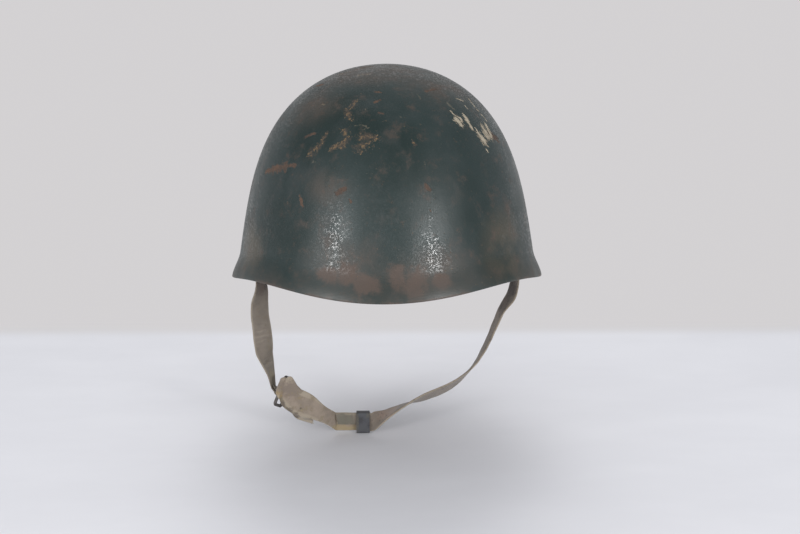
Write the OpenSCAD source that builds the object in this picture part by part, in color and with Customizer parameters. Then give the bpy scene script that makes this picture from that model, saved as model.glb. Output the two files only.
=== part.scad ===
/* [Shell] */
// Overall width of the shell across its rim
shell_w = 248; // [240:1:256]
// Overall length of the shell, front to back
shell_l = 286; // [276:1:296]
// Height of the crown above the rim at the two sides
shell_h = 167; // [158:1:176]
// Thickness of the steel wall
wall_t = 1.2; // [0.9:0.1:1.6]
// How far the side walls lean in over the whole height
wall_lean = 27; // [22:1:32]
// How late the wall turns over into the crown
turn_power = 4.1; // [3.6:0.1:4.8]
// How round the crown is at its middle, 2 for a plain dome
crown_power = 2.13; // [2:0.01:2.3]
// Share by which the plan is drawn in between its four ends
corner_draw = 0.018; // [0:0.002:0.04]
// How far the lower edge flares outward
flare_out = 4; // [2.5:0.5:5.5]
// Height of the flared edge
flare_h = 20; // [16:1:24]

/* [Rim line] */
// Tilt of the rim, front up and back down
rim_tilt = 11.5; // [8:0.5:14]
// Lift of the rim at the front and back above the sides
rim_arch = 3.2; // [0:0.2:5]
// Dip in the middle of the brow
brow_dip = 1.3; // [0:0.1:3]
// Dip of the rim between its four ends
rim_scallop = 3; // [0:0.5:4]

/* [Liner bands] */
// Room for the band springs and the air between the rim and the outer band
rim_room = 23; // [22:0.5:26]
// Height of the lower edge of both bands above the side rim
band_z = 42; // [38:1:46]
// Height of both steel bands
band_h = 24; // [20:1:26]
// Thickness of both steel bands
band_t = 0.9; // [0.7:0.1:1.2]
// Free gap between the two bands
band_gap = 8; // [7:0.5:9]
// Length of a bowed leaf spring along the bands
spring_l = 38; // [34:1:42]
// Height of a leaf spring
spring_h = 14; // [10:1:15]
// Thickness of a leaf spring
spring_t = 0.8; // [0.6:0.1:1]

/* [Liner leather] */
// Thickness of the leather
leather_t = 1.6; // [1.2:0.1:2]
// How far the leather hangs below the inner band
leather_drop = 4; // [2:0.5:6]
// Rise of the tongues above the top of the bands
crown_rise = 62; // [55:1:68]
// Distance of the tongue tips from the middle line
tip_r = 24; // [20:1:28]
// Width of a tongue near its tip
tip_w = 17; // [14:1:18]
// Thickness of the draw lace
lace_d = 2.2; // [1.6:0.1:2.4]

/* [Fixings] */
// Outer diameter of the tube of a hollow vent rivet
vent_tube_d = 7.6; // [6:0.2:8]
// Diameter of the air hole through a vent rivet
vent_bore_d = 5.6; // [4:0.2:6]
// Diameter of the rolled head of a vent rivet
vent_head_d = 14; // [12:0.5:16]
// Outer diameter of a spacer bush
spacer_d = 12; // [10:0.5:13]
// Diameter of the small rivets of the springs and the leather
pin_d = 2.2; // [1.8:0.1:2.6]
// Diameter of the shank of a strap rivet
strap_rivet_d = 4; // [3.2:0.2:4.6]
// Diameter of the outer head of a strap rivet
strap_head_d = 8; // [7:0.5:9]

/* [Strap hangers] */
// Thickness of the sheet of a hanger
tab_t = 1; // [0.8:0.1:1.2]
// Width of a hanger
tab_w = 14; // [12:0.5:16]
// Distance from the strap rivet down to the ring in the hanger
tab_drop = 17; // [15:0.5:19]
// Thickness of the wire of the three rings
wire_d = 2.6; // [2.2:0.1:3]
// Clear height inside a side ring
ring_h = 8.4; // [7.5:0.1:9.5]

/* [Chin strap] */
// Width of the webbing
web_w = 16; // [15:0.5:17]
// Thickness of the webbing
web_t = 1.8; // [1.5:0.1:2]
// Length of webbing sewn back on itself at a side ring
sewn_back = 15; // [10:1:18]
// Length of webbing sewn back on itself at the buckle
sewn_low = 10; // [8:1:12]
// Width of the middle strap where it is bunched in the buckle
fold_w = 11.6; // [10.6:0.2:12.4]
// Width of the left strap where it is bunched on the cross bar of the buckle
hold_w = 10; // [9:0.5:11]
// Clear height of the bare loop below the cross bar of the buckle
loop_h = 5.9; // [5:0.1:6.5]
// Length of the keeper along the strap
keeper_l = 11; // [9:0.5:13]
// Thickness of the sheet of the keeper
keeper_t = 0.9; // [0.7:0.1:1.1]

/* [Hidden] */

// Clearances, each used wherever two pieces meet in that way
seat_gap = 0.3;
rivet_gap = 0.15;
pivot_gap = 0.05;
web_gap = 0.3;
wire_gap = 0.3;

// Grid of the shell
az_n = 72;
flare_rows = 6;
dome_rows = 14;
half_a = shell_w / 2 - flare_out;
half_b = shell_l / 2 - flare_out;
lean = wall_lean / half_a;

band_w = shell_w - 2 * rim_room;
band_l = shell_l - 2 * rim_room;

// The front is at azimuth 0, the right side at 90, the back at 180
vent_az = [-112, 112, 180];
spring_az = [-134, -66, -30, 30, 66, 134];
mid_z = band_z + band_h / 2;
top_z = band_z + band_h;

function unit(v) = v / norm(v);
function mix(a, b, s) = a + (b - a) * s;
function ease(s) = s * s * (3 - 2 * s);
function clamp(x, lo, hi) = min(max(x, lo), hi);

// Height of the rim at an azimuth, zero at the two sides
function rim_z(f) = rim_tilt * cos(f) + rim_arch * (cos(2 * f) + 1)
    - brow_dip * cos(3 * f) + rim_scallop * (1 - cos(4 * f));
function plan_r(f) = (1 - corner_draw * (1 - cos(4 * f)) / 2)
    / norm([sin(f) / half_a, cos(f) / half_b]);
function shell_r(f, z) = let (
        v = clamp((z - rim_z(f)) / (shell_h - rim_z(f)), 0, 1),
        u = clamp((z - rim_z(f)) / flare_h, 0, 1))
    plan_r(f) * (1 - lean * v) * pow(1 - pow(v, turn_power), 1 / crown_power)
        + flare_out * (1 - ease(u));
function at_azimuth(f, r, z) = [r * sin(f), -r * cos(f), z];
function shell_point(f, z) = at_azimuth(f, shell_r(f, z), z);
// Outward normal of the shell, from small steps along it
function shell_normal(f, z) = let (
        lo = max(z - 0.2, rim_z(f)),
        hi = min(z + 0.2, shell_h - 0.01))
    unit(cross(shell_point(f + 0.5, z) - shell_point(f - 0.5, z),
        shell_point(f, hi) - shell_point(f, lo)));

// Heights of the rows of the shell's grid at an azimuth, closest together in the flare
function row_z(f, j) = let (
        z0 = rim_z(f),
        h = shell_h - z0,
        turn = asin(flare_h / h))
    j <= flare_rows ? z0 + flare_h * j / flare_rows
        : z0 + h * sin(mix(turn, 90, (j - flare_rows) / dome_rows));

// Closed solid between an outer and an inner grid of rows that each end in one pole point
module cap_solid(outer, inner) {
    n = len(outer[0]);
    rows = len(outer) - 1;
    skin = n * rows + 1;
    points = concat(
        [for (j = [0:rows - 1]) each outer[j]], [outer[rows][0]],
        [for (j = [0:rows - 1]) each inner[j]], [inner[rows][0]]);
    faces = concat(
        [for (j = [0:rows - 2], i = [0:n - 1]) let (k = (i + 1) % n)
            each [[j * n + i, (j + 1) * n + i, (j + 1) * n + k], [j * n + i, (j + 1) * n + k, j * n + k]]],
        [for (i = [0:n - 1]) let (k = (i + 1) % n) [(rows - 1) * n + i, n * rows, (rows - 1) * n + k]],
        [for (j = [0:rows - 2], i = [0:n - 1]) let (k = (i + 1) % n, s = skin)
            each [[s + j * n + k, s + (j + 1) * n + k, s + (j + 1) * n + i],
                [s + j * n + k, s + (j + 1) * n + i, s + j * n + i]]],
        [for (i = [0:n - 1]) let (k = (i + 1) % n)
            [skin + (rows - 1) * n + k, skin + n * rows, skin + (rows - 1) * n + i]],
        [for (i = [0:n - 1]) let (k = (i + 1) % n)
            each [[i, k, skin + k], [i, skin + k, skin + i]]]);
    polyhedron(points, faces);
}

// Turns +Z to a direction
module along(v) {
    rotate([0, acos(v.z / norm(v)), atan2(v.y, v.x)]) children();
}

// Point on the hoop of the outer band's outer face, moved in by a depth along its normal
function hoop_normal(f) = let (c = band_point(f))
    unit([c.x / pow(band_w / 2, 2), c.y / pow(band_l / 2, 2), 0]);
function band_point(f) = at_azimuth(f, 1 / norm([2 * sin(f) / band_w, 2 * cos(f) / band_l]), 0);
function hoop(f, depth, z) = band_point(f) - depth * hoop_normal(f) + [0, 0, z];
// Azimuth that lies a length s along the hoop from azimuth f
function hoop_az(f, s) = f + s / norm(band_point(f + 0.5) - band_point(f - 0.5));

inner_depth = band_t + band_gap;
leather_depth = inner_depth + band_t + seat_gap;

// Distance from the band out to the shell along the hoop's normal, by halving
function shell_reach(f, z, lo = 0, hi = 40, n = 24) = let (
        m = (lo + hi) / 2,
        p = hoop(f, -m, z),
        az = atan2(p.x, -p.y))
    n == 0 ? m
        : norm([p.x, p.y]) < shell_r(az, z) ? shell_reach(f, z, m, hi, n - 1)
        : shell_reach(f, z, lo, m, n - 1);
function vent_seat(f) = hoop(f, -shell_reach(f, mid_z), mid_z);
function vent_normal(f) = let (p = vent_seat(f)) shell_normal(atan2(p.x, -p.y), mid_z);

module shell() {
    step = 360 / az_n;
    rows = flare_rows + dome_rows;
    outer = [for (j = [0:rows]) [for (i = [0:az_n - 1]) let (f = i * step)
        j == rows ? [0, 0, shell_h] : shell_point(f, row_z(f, j))]];
    inner = [for (j = [0:rows]) [for (i = [0:az_n - 1]) let (f = i * step, z = row_z(f, j))
        j == rows ? [0, 0, shell_h - wall_t] : shell_point(f, z) - wall_t * shell_normal(f, z)]];
    color([0.22, 0.27, 0.26])
    difference() {
        cap_solid(outer, inner);
        for (f = vent_az)
            translate(hoop(f, 0, mid_z))
            along(hoop_normal(f))
            cylinder(d = vent_tube_d + 2 * rivet_gap, h = 30, $fn = 32);
    }
}

roll_t = 1.6;
washer_t = 0.8;
washer_d = 13;
module vent_rivet(f) {
    reach = shell_reach(f, mid_z);
    tail = band_t + seat_gap + washer_t + rivet_gap;
    color([0.25, 0.28, 0.27])
    difference() {
        union() {
            translate(vent_seat(f) + seat_gap * vent_normal(f))
            along(vent_normal(f))
            rotate_extrude($fn = 48) {
                square([vent_head_d / 2 - roll_t / 2, roll_t]);
                translate([vent_head_d / 2 - roll_t / 2, roll_t / 2])
                circle(d = roll_t, $fn = 20);
            }
            translate(hoop(f, tail, mid_z))
            along(hoop_normal(f))
            cylinder(d = vent_tube_d, h = tail + reach + roll_t / 2, $fn = 32);
            translate(hoop(f, tail + roll_t / 2, mid_z))
            along(hoop_normal(f))
            rotate_extrude($fn = 40) {
                translate([0, -roll_t / 2])
                square([washer_d / 2 - 1 - roll_t / 2, roll_t]);
                translate([washer_d / 2 - 1 - roll_t / 2, 0])
                circle(d = roll_t, $fn = 20);
            }
        }
        translate(hoop(f, 12, mid_z))
        along(hoop_normal(f))
        cylinder(d = vent_bore_d, h = 40, $fn = 32);
    }
}

// The shell's face is curved, so the flat cut end keeps a little more away
slope_gap = 0.45;
module spacer(f) {
    reach = shell_reach(f, mid_z);
    color([0.45, 0.45, 0.43])
    difference() {
        translate(hoop(f, -rivet_gap, mid_z))
        along(hoop_normal(f))
        cylinder(d = spacer_d, h = reach + 6, $fn = 40);
        translate(hoop(f, 5, mid_z))
        along(hoop_normal(f))
        cylinder(d = vent_tube_d + 2 * rivet_gap, h = reach + 20, $fn = 32);
        // The outer end is cut to the slope of the shell's inner face
        translate(vent_seat(f) - (wall_t + slope_gap) * vent_normal(f))
        along(vent_normal(f))
        translate([-2 * spacer_d, -2 * spacer_d, 0])
        cube([4 * spacer_d, 4 * spacer_d, reach + spacer_d]);
    }
}

module rivet_washer(f) {
    color([0.5, 0.5, 0.48])
    translate(hoop(f, band_t + seat_gap + washer_t, mid_z))
    along(hoop_normal(f))
    difference() {
        cylinder(d = washer_d, h = washer_t, $fn = 40);
        translate([0, 0, -1])
        cylinder(d = vent_tube_d + 2 * rivet_gap, h = washer_t + 2, $fn = 32);
    }
}

band_n = 96;
module band_blank(depth) {
    // Holes lie in the middles of the hoop's flats, so its corners are half a step off
    function ring(d) = [for (i = [0:band_n - 1]) let (p = hoop((i + 0.5) * 360 / band_n, d, 0)) [p.x, p.y]];
    translate([0, 0, band_z])
    linear_extrude(band_h)
    difference() {
        polygon(ring(depth));
        polygon(ring(depth + band_t));
    }
}

// Holes for small rivets across the hoop at an azimuth and height
module pin_hole(f, z, d = pin_d) {
    translate(hoop(f, 14, z))
    along(hoop_normal(f))
    cylinder(d = d + 2 * rivet_gap, h = 20, $fn = 20);
}

foot_s = spring_l / 2 - 3.5;
leather_pins = 24;
leather_pin_z = band_z + 2.6;

module outer_band() {
    color([0.4, 0.41, 0.38])
    difference() {
        band_blank(0);
        for (f = vent_az)
            translate(hoop(f, 14, mid_z))
            along(hoop_normal(f))
            cylinder(d = vent_tube_d + 2 * rivet_gap, h = 20, $fn = 32);
        for (f = spring_az, s = [-foot_s, foot_s])
            pin_hole(hoop_az(f, s), mid_z);
        for (side = [-90, 90])
            translate(hoop(side, 14, mid_z))
            along(hoop_normal(side))
            cylinder(d = strap_rivet_d + 2 * pivot_gap, h = 20, $fn = 32);
    }
}

module inner_band() {
    color([0.4, 0.41, 0.38])
    difference() {
        band_blank(inner_depth);
        for (f = spring_az)
            pin_hole(f, mid_z);
        for (i = [0:leather_pins - 1])
            pin_hole((i + 0.5) * 360 / leather_pins, leather_pin_z);
    }
}

// Leaf spring: its two feet lie on the outer band and its bowed middle on the inner one
spring_out = band_t + seat_gap + spring_t / 2;
spring_in = inner_depth - seat_gap - spring_t / 2;
crest_l = 12;
foot_l = 7.5;
function spring_depth(s) = let (
        half = spring_l / 2,
        u = clamp((half - foot_l - abs(s)) / (half - foot_l - crest_l / 2), 0, 1))
    mix(spring_out, spring_in, ease(u));

module band_spring(f) {
    n = 20;
    lo = mid_z - spring_h / 2;
    hi = mid_z + spring_h / 2;
    sections = [for (i = [0:n]) let (
            s = spring_l * (i / n - 0.5),
            az = hoop_az(f, s),
            d = spring_depth(s))
        [hoop(az, d - spring_t / 2, lo), hoop(az, d - spring_t / 2, hi),
            hoop(az, d + spring_t / 2, hi), hoop(az, d + spring_t / 2, lo)]];
    color([0.33, 0.34, 0.34])
    difference() {
        sweep_solid(sections);
        pin_hole(f, mid_z);
        for (s = [-foot_s, foot_s])
            pin_hole(hoop_az(f, s), mid_z);
    }
}

// Closed solid through a list of sections that all have the same number of points. Opposite
// sides are split along matching diagonals, so that a thin solid can be twisted
module sweep_solid(sections) {
    m = len(sections[0]);
    n = len(sections) - 1;
    faces = concat(
        [for (j = [0:n - 1], i = [0:m - 1]) let (
                a = j * m + i,
                b = j * m + (i + 1) % m,
                d = i < m / 2 ? a : b,
                c = i < m / 2 ? b + m : a + m)
            each [[a, b, c], [d, b + m, a + m]]],
        [for (i = [1:m - 2]) [0, i + 1, i]],
        [for (i = [1:m - 2]) [n * m, n * m + i, n * m + i + 1]]);
    polyhedron([for (s = sections) each s], faces);
}

// Small rivet along +Z with a domed head below z = 0 and a flat tail from z = grip upward
module small_rivet(grip, tail) {
    rotate_extrude($fn = 24)
    polygon([[0, -1], [pin_d * 0.55, -0.9], [pin_d * 0.95, -0.45], [pin_d, 0], [pin_d / 2, 0],
        [pin_d / 2, grip], [pin_d * 0.85, grip], [pin_d * 0.75, grip + tail], [0, grip + tail]]);
}

module spring_rivets() {
    foot_grip = band_t + 2 * seat_gap + spring_t + rivet_gap;
    crest_grip = spring_t + seat_gap + rivet_gap + band_t / 2;
    color([0.5, 0.5, 0.48]) {
        for (f = spring_az, s = [-foot_s, foot_s]) {
            az = hoop_az(f, s);
            translate(hoop(az, spring_out + spring_t / 2 + rivet_gap, mid_z))
            along(hoop_normal(az))
            small_rivet(foot_grip, 0.7);
        }
        for (f = spring_az)
            translate(hoop(f, spring_in - spring_t / 2 - rivet_gap, mid_z))
            along(-hoop_normal(f))
            rotate_extrude($fn = 24)
            polygon([[0, -1], [pin_d * 0.55, -0.9], [pin_d * 0.95, -0.45], [pin_d, 0],
                [pin_d / 2, 0], [pin_d / 2, crest_grip], [0, crest_grip]]);
    }
}

// Leather: a ring on the inner band whose upper part is cut into eight tongues
tongue_n = 8;
ring_rows = 2;
tongue_rows = 11;
tongue_cols = 8;
base_half = 20.5;
ring_lo = band_z - leather_drop;
tip_turn = 77;
// Tongue profile: s runs from 0 at the band to 1 at the tip
function tongue_share(s) = let (c = pow(cos(tip_turn * s), 0.9), c1 = pow(cos(tip_turn), 0.9))
    (c - c1) / (1 - c1);
function tongue_half_w(f, s) = let (
        w0 = norm(leather_base(f + base_half, 0) - leather_base(f - base_half, 0)) / 2,
        body = mix(tip_w / 2, w0, pow(1 - s, 1.15)),
        round = s > 0.88 ? sqrt(1 - pow((s - 0.88) / 0.125, 2)) : 1)
    body * round;
function leather_base(f, depth) = hoop(f, leather_depth + depth, 0);
function tongue_point(fc, c, s, depth) = let (
        share = tongue_share(s),
        r_mid = mix(tip_r, norm(leather_base(fc, 0)), share),
        half = min(base_half, tongue_half_w(fc, s) / r_mid * 57.3),
        f = fc + c * half,
        base = leather_base(f, depth * cos(tip_turn * s)),
        r = mix(tip_r, norm(base), share),
        z = top_z + (crown_rise - depth) * sin(tip_turn * s) / sin(tip_turn))
    [r * base.x / norm(base), r * base.y / norm(base), z];
function leather_point(i, j, k, depth) = let (fc = i * 360 / tongue_n, c = 2 * j / tongue_cols - 1)
    k <= ring_rows
        ? leather_base(fc + c * base_half, depth) + [0, 0, mix(ring_lo, top_z, k / ring_rows)]
        : tongue_point(fc, c, (k - ring_rows) / tongue_rows, depth);

hole_s = 0.86;
function lace_hole(i) = tongue_point(i * 360 / tongue_n, 0, hole_s, leather_t / 2);
function lace_hole_dir(i) = let (
        f = i * 360 / tongue_n,
        a = tongue_point(f, 0, hole_s + 0.03, 0) - tongue_point(f, 0, hole_s - 0.03, 0))
    unit(cross([cos(f), sin(f), 0], a));
hole_d = lace_d + 3;

module leather_liner() {
    rows = ring_rows + tongue_rows;
    cols = tongue_cols + 1;
    function id(i, j, k, side) = (((i % tongue_n) * cols + j) * (rows + 1) + k) * 2 + side;
    points = [for (i = [0:tongue_n - 1], j = [0:tongue_cols], k = [0:rows], side = [0, 1])
        leather_point(i, j, k, side * leather_t)];
    quads = concat(
        [for (i = [0:tongue_n - 1], j = [0:tongue_cols - 1], k = [0:rows - 1]) each [
            [id(i, j, k, 0), id(i, j, k + 1, 0), id(i, j + 1, k + 1, 0), id(i, j + 1, k, 0)],
            [id(i, j + 1, k, 1), id(i, j + 1, k + 1, 1), id(i, j, k + 1, 1), id(i, j, k, 1)]]],
        [for (i = [0:tongue_n - 1], k = [0:ring_rows - 1]) let (j = tongue_cols) each [
            [id(i, j, k, 0), id(i, j, k + 1, 0), id(i + 1, 0, k + 1, 0), id(i + 1, 0, k, 0)],
            [id(i + 1, 0, k, 1), id(i + 1, 0, k + 1, 1), id(i, j, k + 1, 1), id(i, j, k, 1)]]],
        [for (i = [0:tongue_n - 1], k = [ring_rows:rows - 1]) let (j = tongue_cols) each [
            [id(i, j, k, 0), id(i, j, k + 1, 0), id(i, j, k + 1, 1), id(i, j, k, 1)],
            [id(i, 0, k, 1), id(i, 0, k + 1, 1), id(i, 0, k + 1, 0), id(i, 0, k, 0)]]],
        [for (i = [0:tongue_n - 1], j = [0:tongue_cols - 1]) each [
            [id(i, j, rows, 0), id(i, j, rows, 1), id(i, j + 1, rows, 1), id(i, j + 1, rows, 0)],
            [id(i, j, 0, 1), id(i, j, 0, 0), id(i, j + 1, 0, 0), id(i, j + 1, 0, 1)]]],
        [for (i = [0:tongue_n - 1]) let (j = tongue_cols) each [
            [id(i, j, 0, 1), id(i, j, 0, 0), id(i + 1, 0, 0, 0), id(i + 1, 0, 0, 1)],
            [id(i, j, ring_rows, 0), id(i, j, ring_rows, 1),
                id(i + 1, 0, ring_rows, 1), id(i + 1, 0, ring_rows, 0)]]]);
    faces = [for (q = quads) each [[q[0], q[1], q[2]], [q[0], q[2], q[3]]]];
    color([0.42, 0.27, 0.17])
    difference() {
        polyhedron(points, faces);
        for (i = [0:tongue_n - 1])
            translate(lace_hole(i))
            along(lace_hole_dir(i))
            translate([0, 0, -6])
            cylinder(d = hole_d, h = 12, $fn = 24);
        for (i = [0:leather_pins - 1])
            pin_hole((i + 0.5) * 360 / leather_pins, leather_pin_z);
    }
}

module leather_rivets() {
    grip = leather_t + 2 * seat_gap + band_t + rivet_gap;
    color([0.55, 0.5, 0.38])
    for (i = [0:leather_pins - 1]) {
        f = (i + 0.5) * 360 / leather_pins;
        translate(hoop(f, leather_depth + leather_t + seat_gap, leather_pin_z))
        along(hoop_normal(f))
        small_rivet(grip, 0.6);
    }
}

// The lace weaves out of one tongue and into the next, straight across the leather at each hole
lace_amp = leather_t / 2 + lace_d / 2 + 3 * seat_gap;
lace_stops = [0, 0.02, 0.045, 0.09, 0.25, 0.5, 0.75, 0.91, 0.955, 0.98];
function lace_point(a) = let (
        i = floor(a),
        s = a - i,
        h1 = lace_hole(i),
        h2 = lace_hole(i + 1),
        side = i % 2 == 0 ? 1 : -1,
        lift = side * lace_amp * clamp(16 * min(s, 1 - s), 0, 1),
        r = mix(norm([h1.x, h1.y]), norm([h2.x, h2.y]), ease(s)))
    at_azimuth(a * 360 / tongue_n, r, mix(h1.z, h2.z, s)) + lift * lace_hole_dir(a);

// Round tube through a closed list of points
module closed_tube(path, d, sides) {
    n = len(path);
    rings = [for (i = [0:n - 1]) let (
            t = unit(path[(i + 1) % n] - path[(i + n - 1) % n]),
            u = unit(cross(t, abs(t.z) > 0.8 ? [1, 0, 0] : [0, 0, 1])),
            w = cross(t, u))
        [for (k = [0:sides - 1]) path[i] + d / 2 * (cos(k * 360 / sides) * u + sin(k * 360 / sides) * w)]];
    polyhedron([for (r = rings) each r],
        [for (i = [0:n - 1], k = [0:sides - 1]) let (i2 = (i + 1) % n, k2 = (k + 1) % sides)
            each [[i * sides + k, i2 * sides + k2, i * sides + k2],
                [i * sides + k, i2 * sides + k, i2 * sides + k2]]]);
}

module liner_lace() {
    loop = [for (i = [0:tongue_n - 1], s = lace_stops) lace_point(i + s)];
    color([0.62, 0.56, 0.42])
    closed_tube(loop, lace_d, 8);
}

strap_x = band_w / 2;
tab_x = strap_x + seat_gap;
loop_r = wire_d / 2 + wire_gap + tab_t;
bar_x = tab_x + loop_r;
bar_z = mid_z - tab_drop;
side_bar_z = bar_z - wire_d - ring_h;

// Pieces of the right side; those of the left are their mirror images
module strap_rivet() {
    color([0.45, 0.44, 0.41])
    translate([0, 0, mid_z])
    rotate([0, 90, 0])
    rotate_extrude($fn = 40)
    polygon([[0, strap_x - band_t - seat_gap - 1.1], [strap_head_d / 2 - 0.6, strap_x - band_t - seat_gap - 0.9],
        [strap_head_d / 2 - 0.2, strap_x - band_t - seat_gap],
        [strap_rivet_d / 2, strap_x - band_t - seat_gap], [strap_rivet_d / 2, tab_x + tab_t + rivet_gap],
        [strap_head_d / 2, tab_x + tab_t + rivet_gap], [strap_head_d / 2 - 0.5, tab_x + tab_t + rivet_gap + 0.9],
        [strap_head_d / 2 - 2, tab_x + tab_t + rivet_gap + 1.5], [0, tab_x + tab_t + rivet_gap + 1.7]]);
}

module strap_hanger() {
    color([0.42, 0.42, 0.4])
    difference() {
        union() {
            translate([tab_x, 0, mid_z])
            rotate([0, 90, 0])
            cylinder(d = tab_w, h = tab_t, $fn = 48);
            translate([tab_x, -tab_w / 2, bar_z])
            cube([tab_t, tab_w, tab_drop]);
            translate([bar_x, tab_w / 2, bar_z])
            rotate([90, 0, 0])
            cylinder(r = loop_r, h = tab_w, $fn = 40);
        }
        translate([bar_x, tab_w, bar_z])
        rotate([90, 0, 0])
        cylinder(d = wire_d + 2 * wire_gap, h = 2 * tab_w, $fn = 40);
        translate([tab_x - tab_t, 0, mid_z])
        rotate([0, 90, 0])
        cylinder(d = strap_rivet_d + 2 * pivot_gap, h = 3 * tab_t, $fn = 40);
    }
}

// Wire ring in the plane of Y and Z, centred, with clear inner sizes and round corners
module wire_ring(clear_y, clear_z, corner) {
    y = clear_y / 2 + wire_d / 2;
    z = clear_z / 2 + wire_d / 2;
    for (s = [-1, 1]) {
        translate([0, s * y, -z + corner])
        cylinder(d = wire_d, h = 2 * (z - corner), $fn = 24);
        translate([0, y - corner, s * z])
        rotate([90, 0, 0])
        cylinder(d = wire_d, h = 2 * (y - corner), $fn = 24);
    }
    for (k = [0:3])
        rotate([90 * k, 0, 0])
        translate([0, k % 2 == 0 ? y - corner : z - corner, k % 2 == 0 ? z - corner : y - corner])
        rotate([90, 0, 90])
        rotate_extrude(angle = 90, $fn = 48)
        translate([corner, 0])
        circle(d = wire_d, $fn = 24);
}

side_ring_in = web_w + 3;
ring_corner = 2.6;
module side_ring() {
    color([0.38, 0.38, 0.37])
    translate([bar_x, 0, (bar_z + side_bar_z) / 2])
    wire_ring(side_ring_in, ring_h, ring_corner);
}

// Smooth curve through rows of numbers, with a number of steps in each span
function spline(rows, steps) = let (n = len(rows) - 1)
    concat([for (i = [0:n - 1], s = [0:steps - 1]) let (
            p0 = i == 0 ? 2 * rows[0] - rows[1] : rows[i - 1],
            p1 = rows[i],
            p2 = rows[i + 1],
            p3 = i == n - 1 ? 2 * rows[n] - rows[n - 1] : rows[i + 2],
            u = s / steps)
        0.5 * (2 * p1 + (p2 - p0) * u + (2 * p0 - 5 * p1 + 4 * p2 - p3) * u * u
            + (3 * p1 - p0 - 3 * p2 + p3) * u * u * u)],
        [rows[n]]);

// A station of webbing is a point, the direction of the webbing's width there and its width
function station(p, w, wide) = concat(p, w, [wide]);
function place(row) = [row[0], row[1], row[2]];
function across(row) = [row[3], row[4], row[5]];

// Sewn end and half turn round a bar. The webbing goes off the bar in the direction leave,
// and side points from the bar to the layer that goes on
turn_r = wire_d / 2 + wire_gap + web_t / 2;
layer = web_t + web_gap;
// The routes are laid out for side rings at this distance and widen with the real one
route_bar_x = 103.9;
widen = bar_x / route_bar_x;
function widened(rows) = [for (r = rows) concat([widen * r[0]], [for (k = [1:6]) r[k]])];
// The sewn-back layer ends this far from the bar's centre, before the webbing bends round it
sewn_near = 5;
bend_at = 2.4;
function half_turn(bar, w, leave, side, wide) = [for (i = [0:8]) let (a = 180 * i / 8)
    station(bar - side * turn_r * cos(a) - leave * turn_r * sin(a), w, wide)];
function sewn_end(bar, w, leave, side, back, wide) = concat(
    [for (i = [0:3]) station(bar + leave * mix(back, sewn_near, i / 3) + side * (layer - turn_r), w, wide)],
    [station(bar + leave * bend_at - side * (turn_r - 0.25), w, wide)],
    half_turn(bar, w, leave, side, wide));
function last(list) = list[len(list) - 1];
function moved(row, v) = station(place(row) + v, across(row), row[6]);
function reversed(list) = [for (i = [len(list) - 1:-1:0]) list[i]];

// Flat webbing through its stations, cut square to its run or, if skewed, along each width
module webbing(rows, skewed = false) {
    n = len(rows) - 1;
    sections = [for (i = [0:n]) let (
            p = place(rows[i]),
            t = unit(place(rows[min(i + 1, n)]) - place(rows[max(i - 1, 0)])),
            w0 = across(rows[i]),
            w = unit(skewed ? w0 : w0 - (w0 * t) * t),
            a = rows[i][6] / 2 * w,
            b = web_t / 2 * unit(cross(t, w)))
        [p - a + b, p + a + b, p + a - b, p - a - b]];
    sweep_solid(sections);
}

// The buckle frame stands along buckle_d and runs back along buckle_e. Its front bar carries the
// folded middle strap, its cross bar the left strap, and a bare loop is left below
buckle_bar = [-86.6 * widen, -13.4, -91.7];
buckle_e = unit([0.2, 0.87, -0.45]);
buckle_n = unit(cross(buckle_e, [0.36, 0.362, 0.86]));
buckle_d = cross(buckle_n, buckle_e);
// Room behind the front bar for the middle strap to pass the left one, and above the fold for
// the rounded corner
pass_d = 4.2;
corner_room = 0.9;
buckle_in = pass_d + hold_w + web_gap;
cross_drop = fold_w / 2 + wire_gap + wire_d / 2;
buckle_h = fold_w + wire_gap + corner_room + wire_d + loop_h;
bar_pitch = buckle_in + wire_d;
buckle_mid = buckle_bar + bar_pitch / 2 * buckle_e
    + (fold_w / 2 + corner_room - buckle_h / 2) * buckle_d;
cross_bar = buckle_bar - cross_drop * buckle_d;
hold_mid = cross_bar + (wire_d / 2 + pass_d + hold_w / 2) * buckle_e;
side_bar = [bar_x, 0, side_bar_z];
down = [0, 0, -1];
fore = [0, 1, 0];

module buckle_ring() {
    frame = [[buckle_n.x, buckle_e.x, buckle_d.x, buckle_mid.x],
        [buckle_n.y, buckle_e.y, buckle_d.y, buckle_mid.y],
        [buckle_n.z, buckle_e.z, buckle_d.z, buckle_mid.z],
        [0, 0, 0, 1]];
    color([0.36, 0.35, 0.34]) {
        multmatrix(frame)
        wire_ring(buckle_in, buckle_h, ring_corner);
        translate(cross_bar)
        along(buckle_e)
        cylinder(d = wire_d, h = bar_pitch, $fn = 24);
    }
}

// Route of the left strap from its side ring down to the cross bar of the buckle
function square_to(v, axis) = unit(v - (v * axis) * axis);
left_leave = square_to([-0.6, 0, 0.8], buckle_e);
left_side = unit(cross(left_leave, buckle_e));
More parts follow.
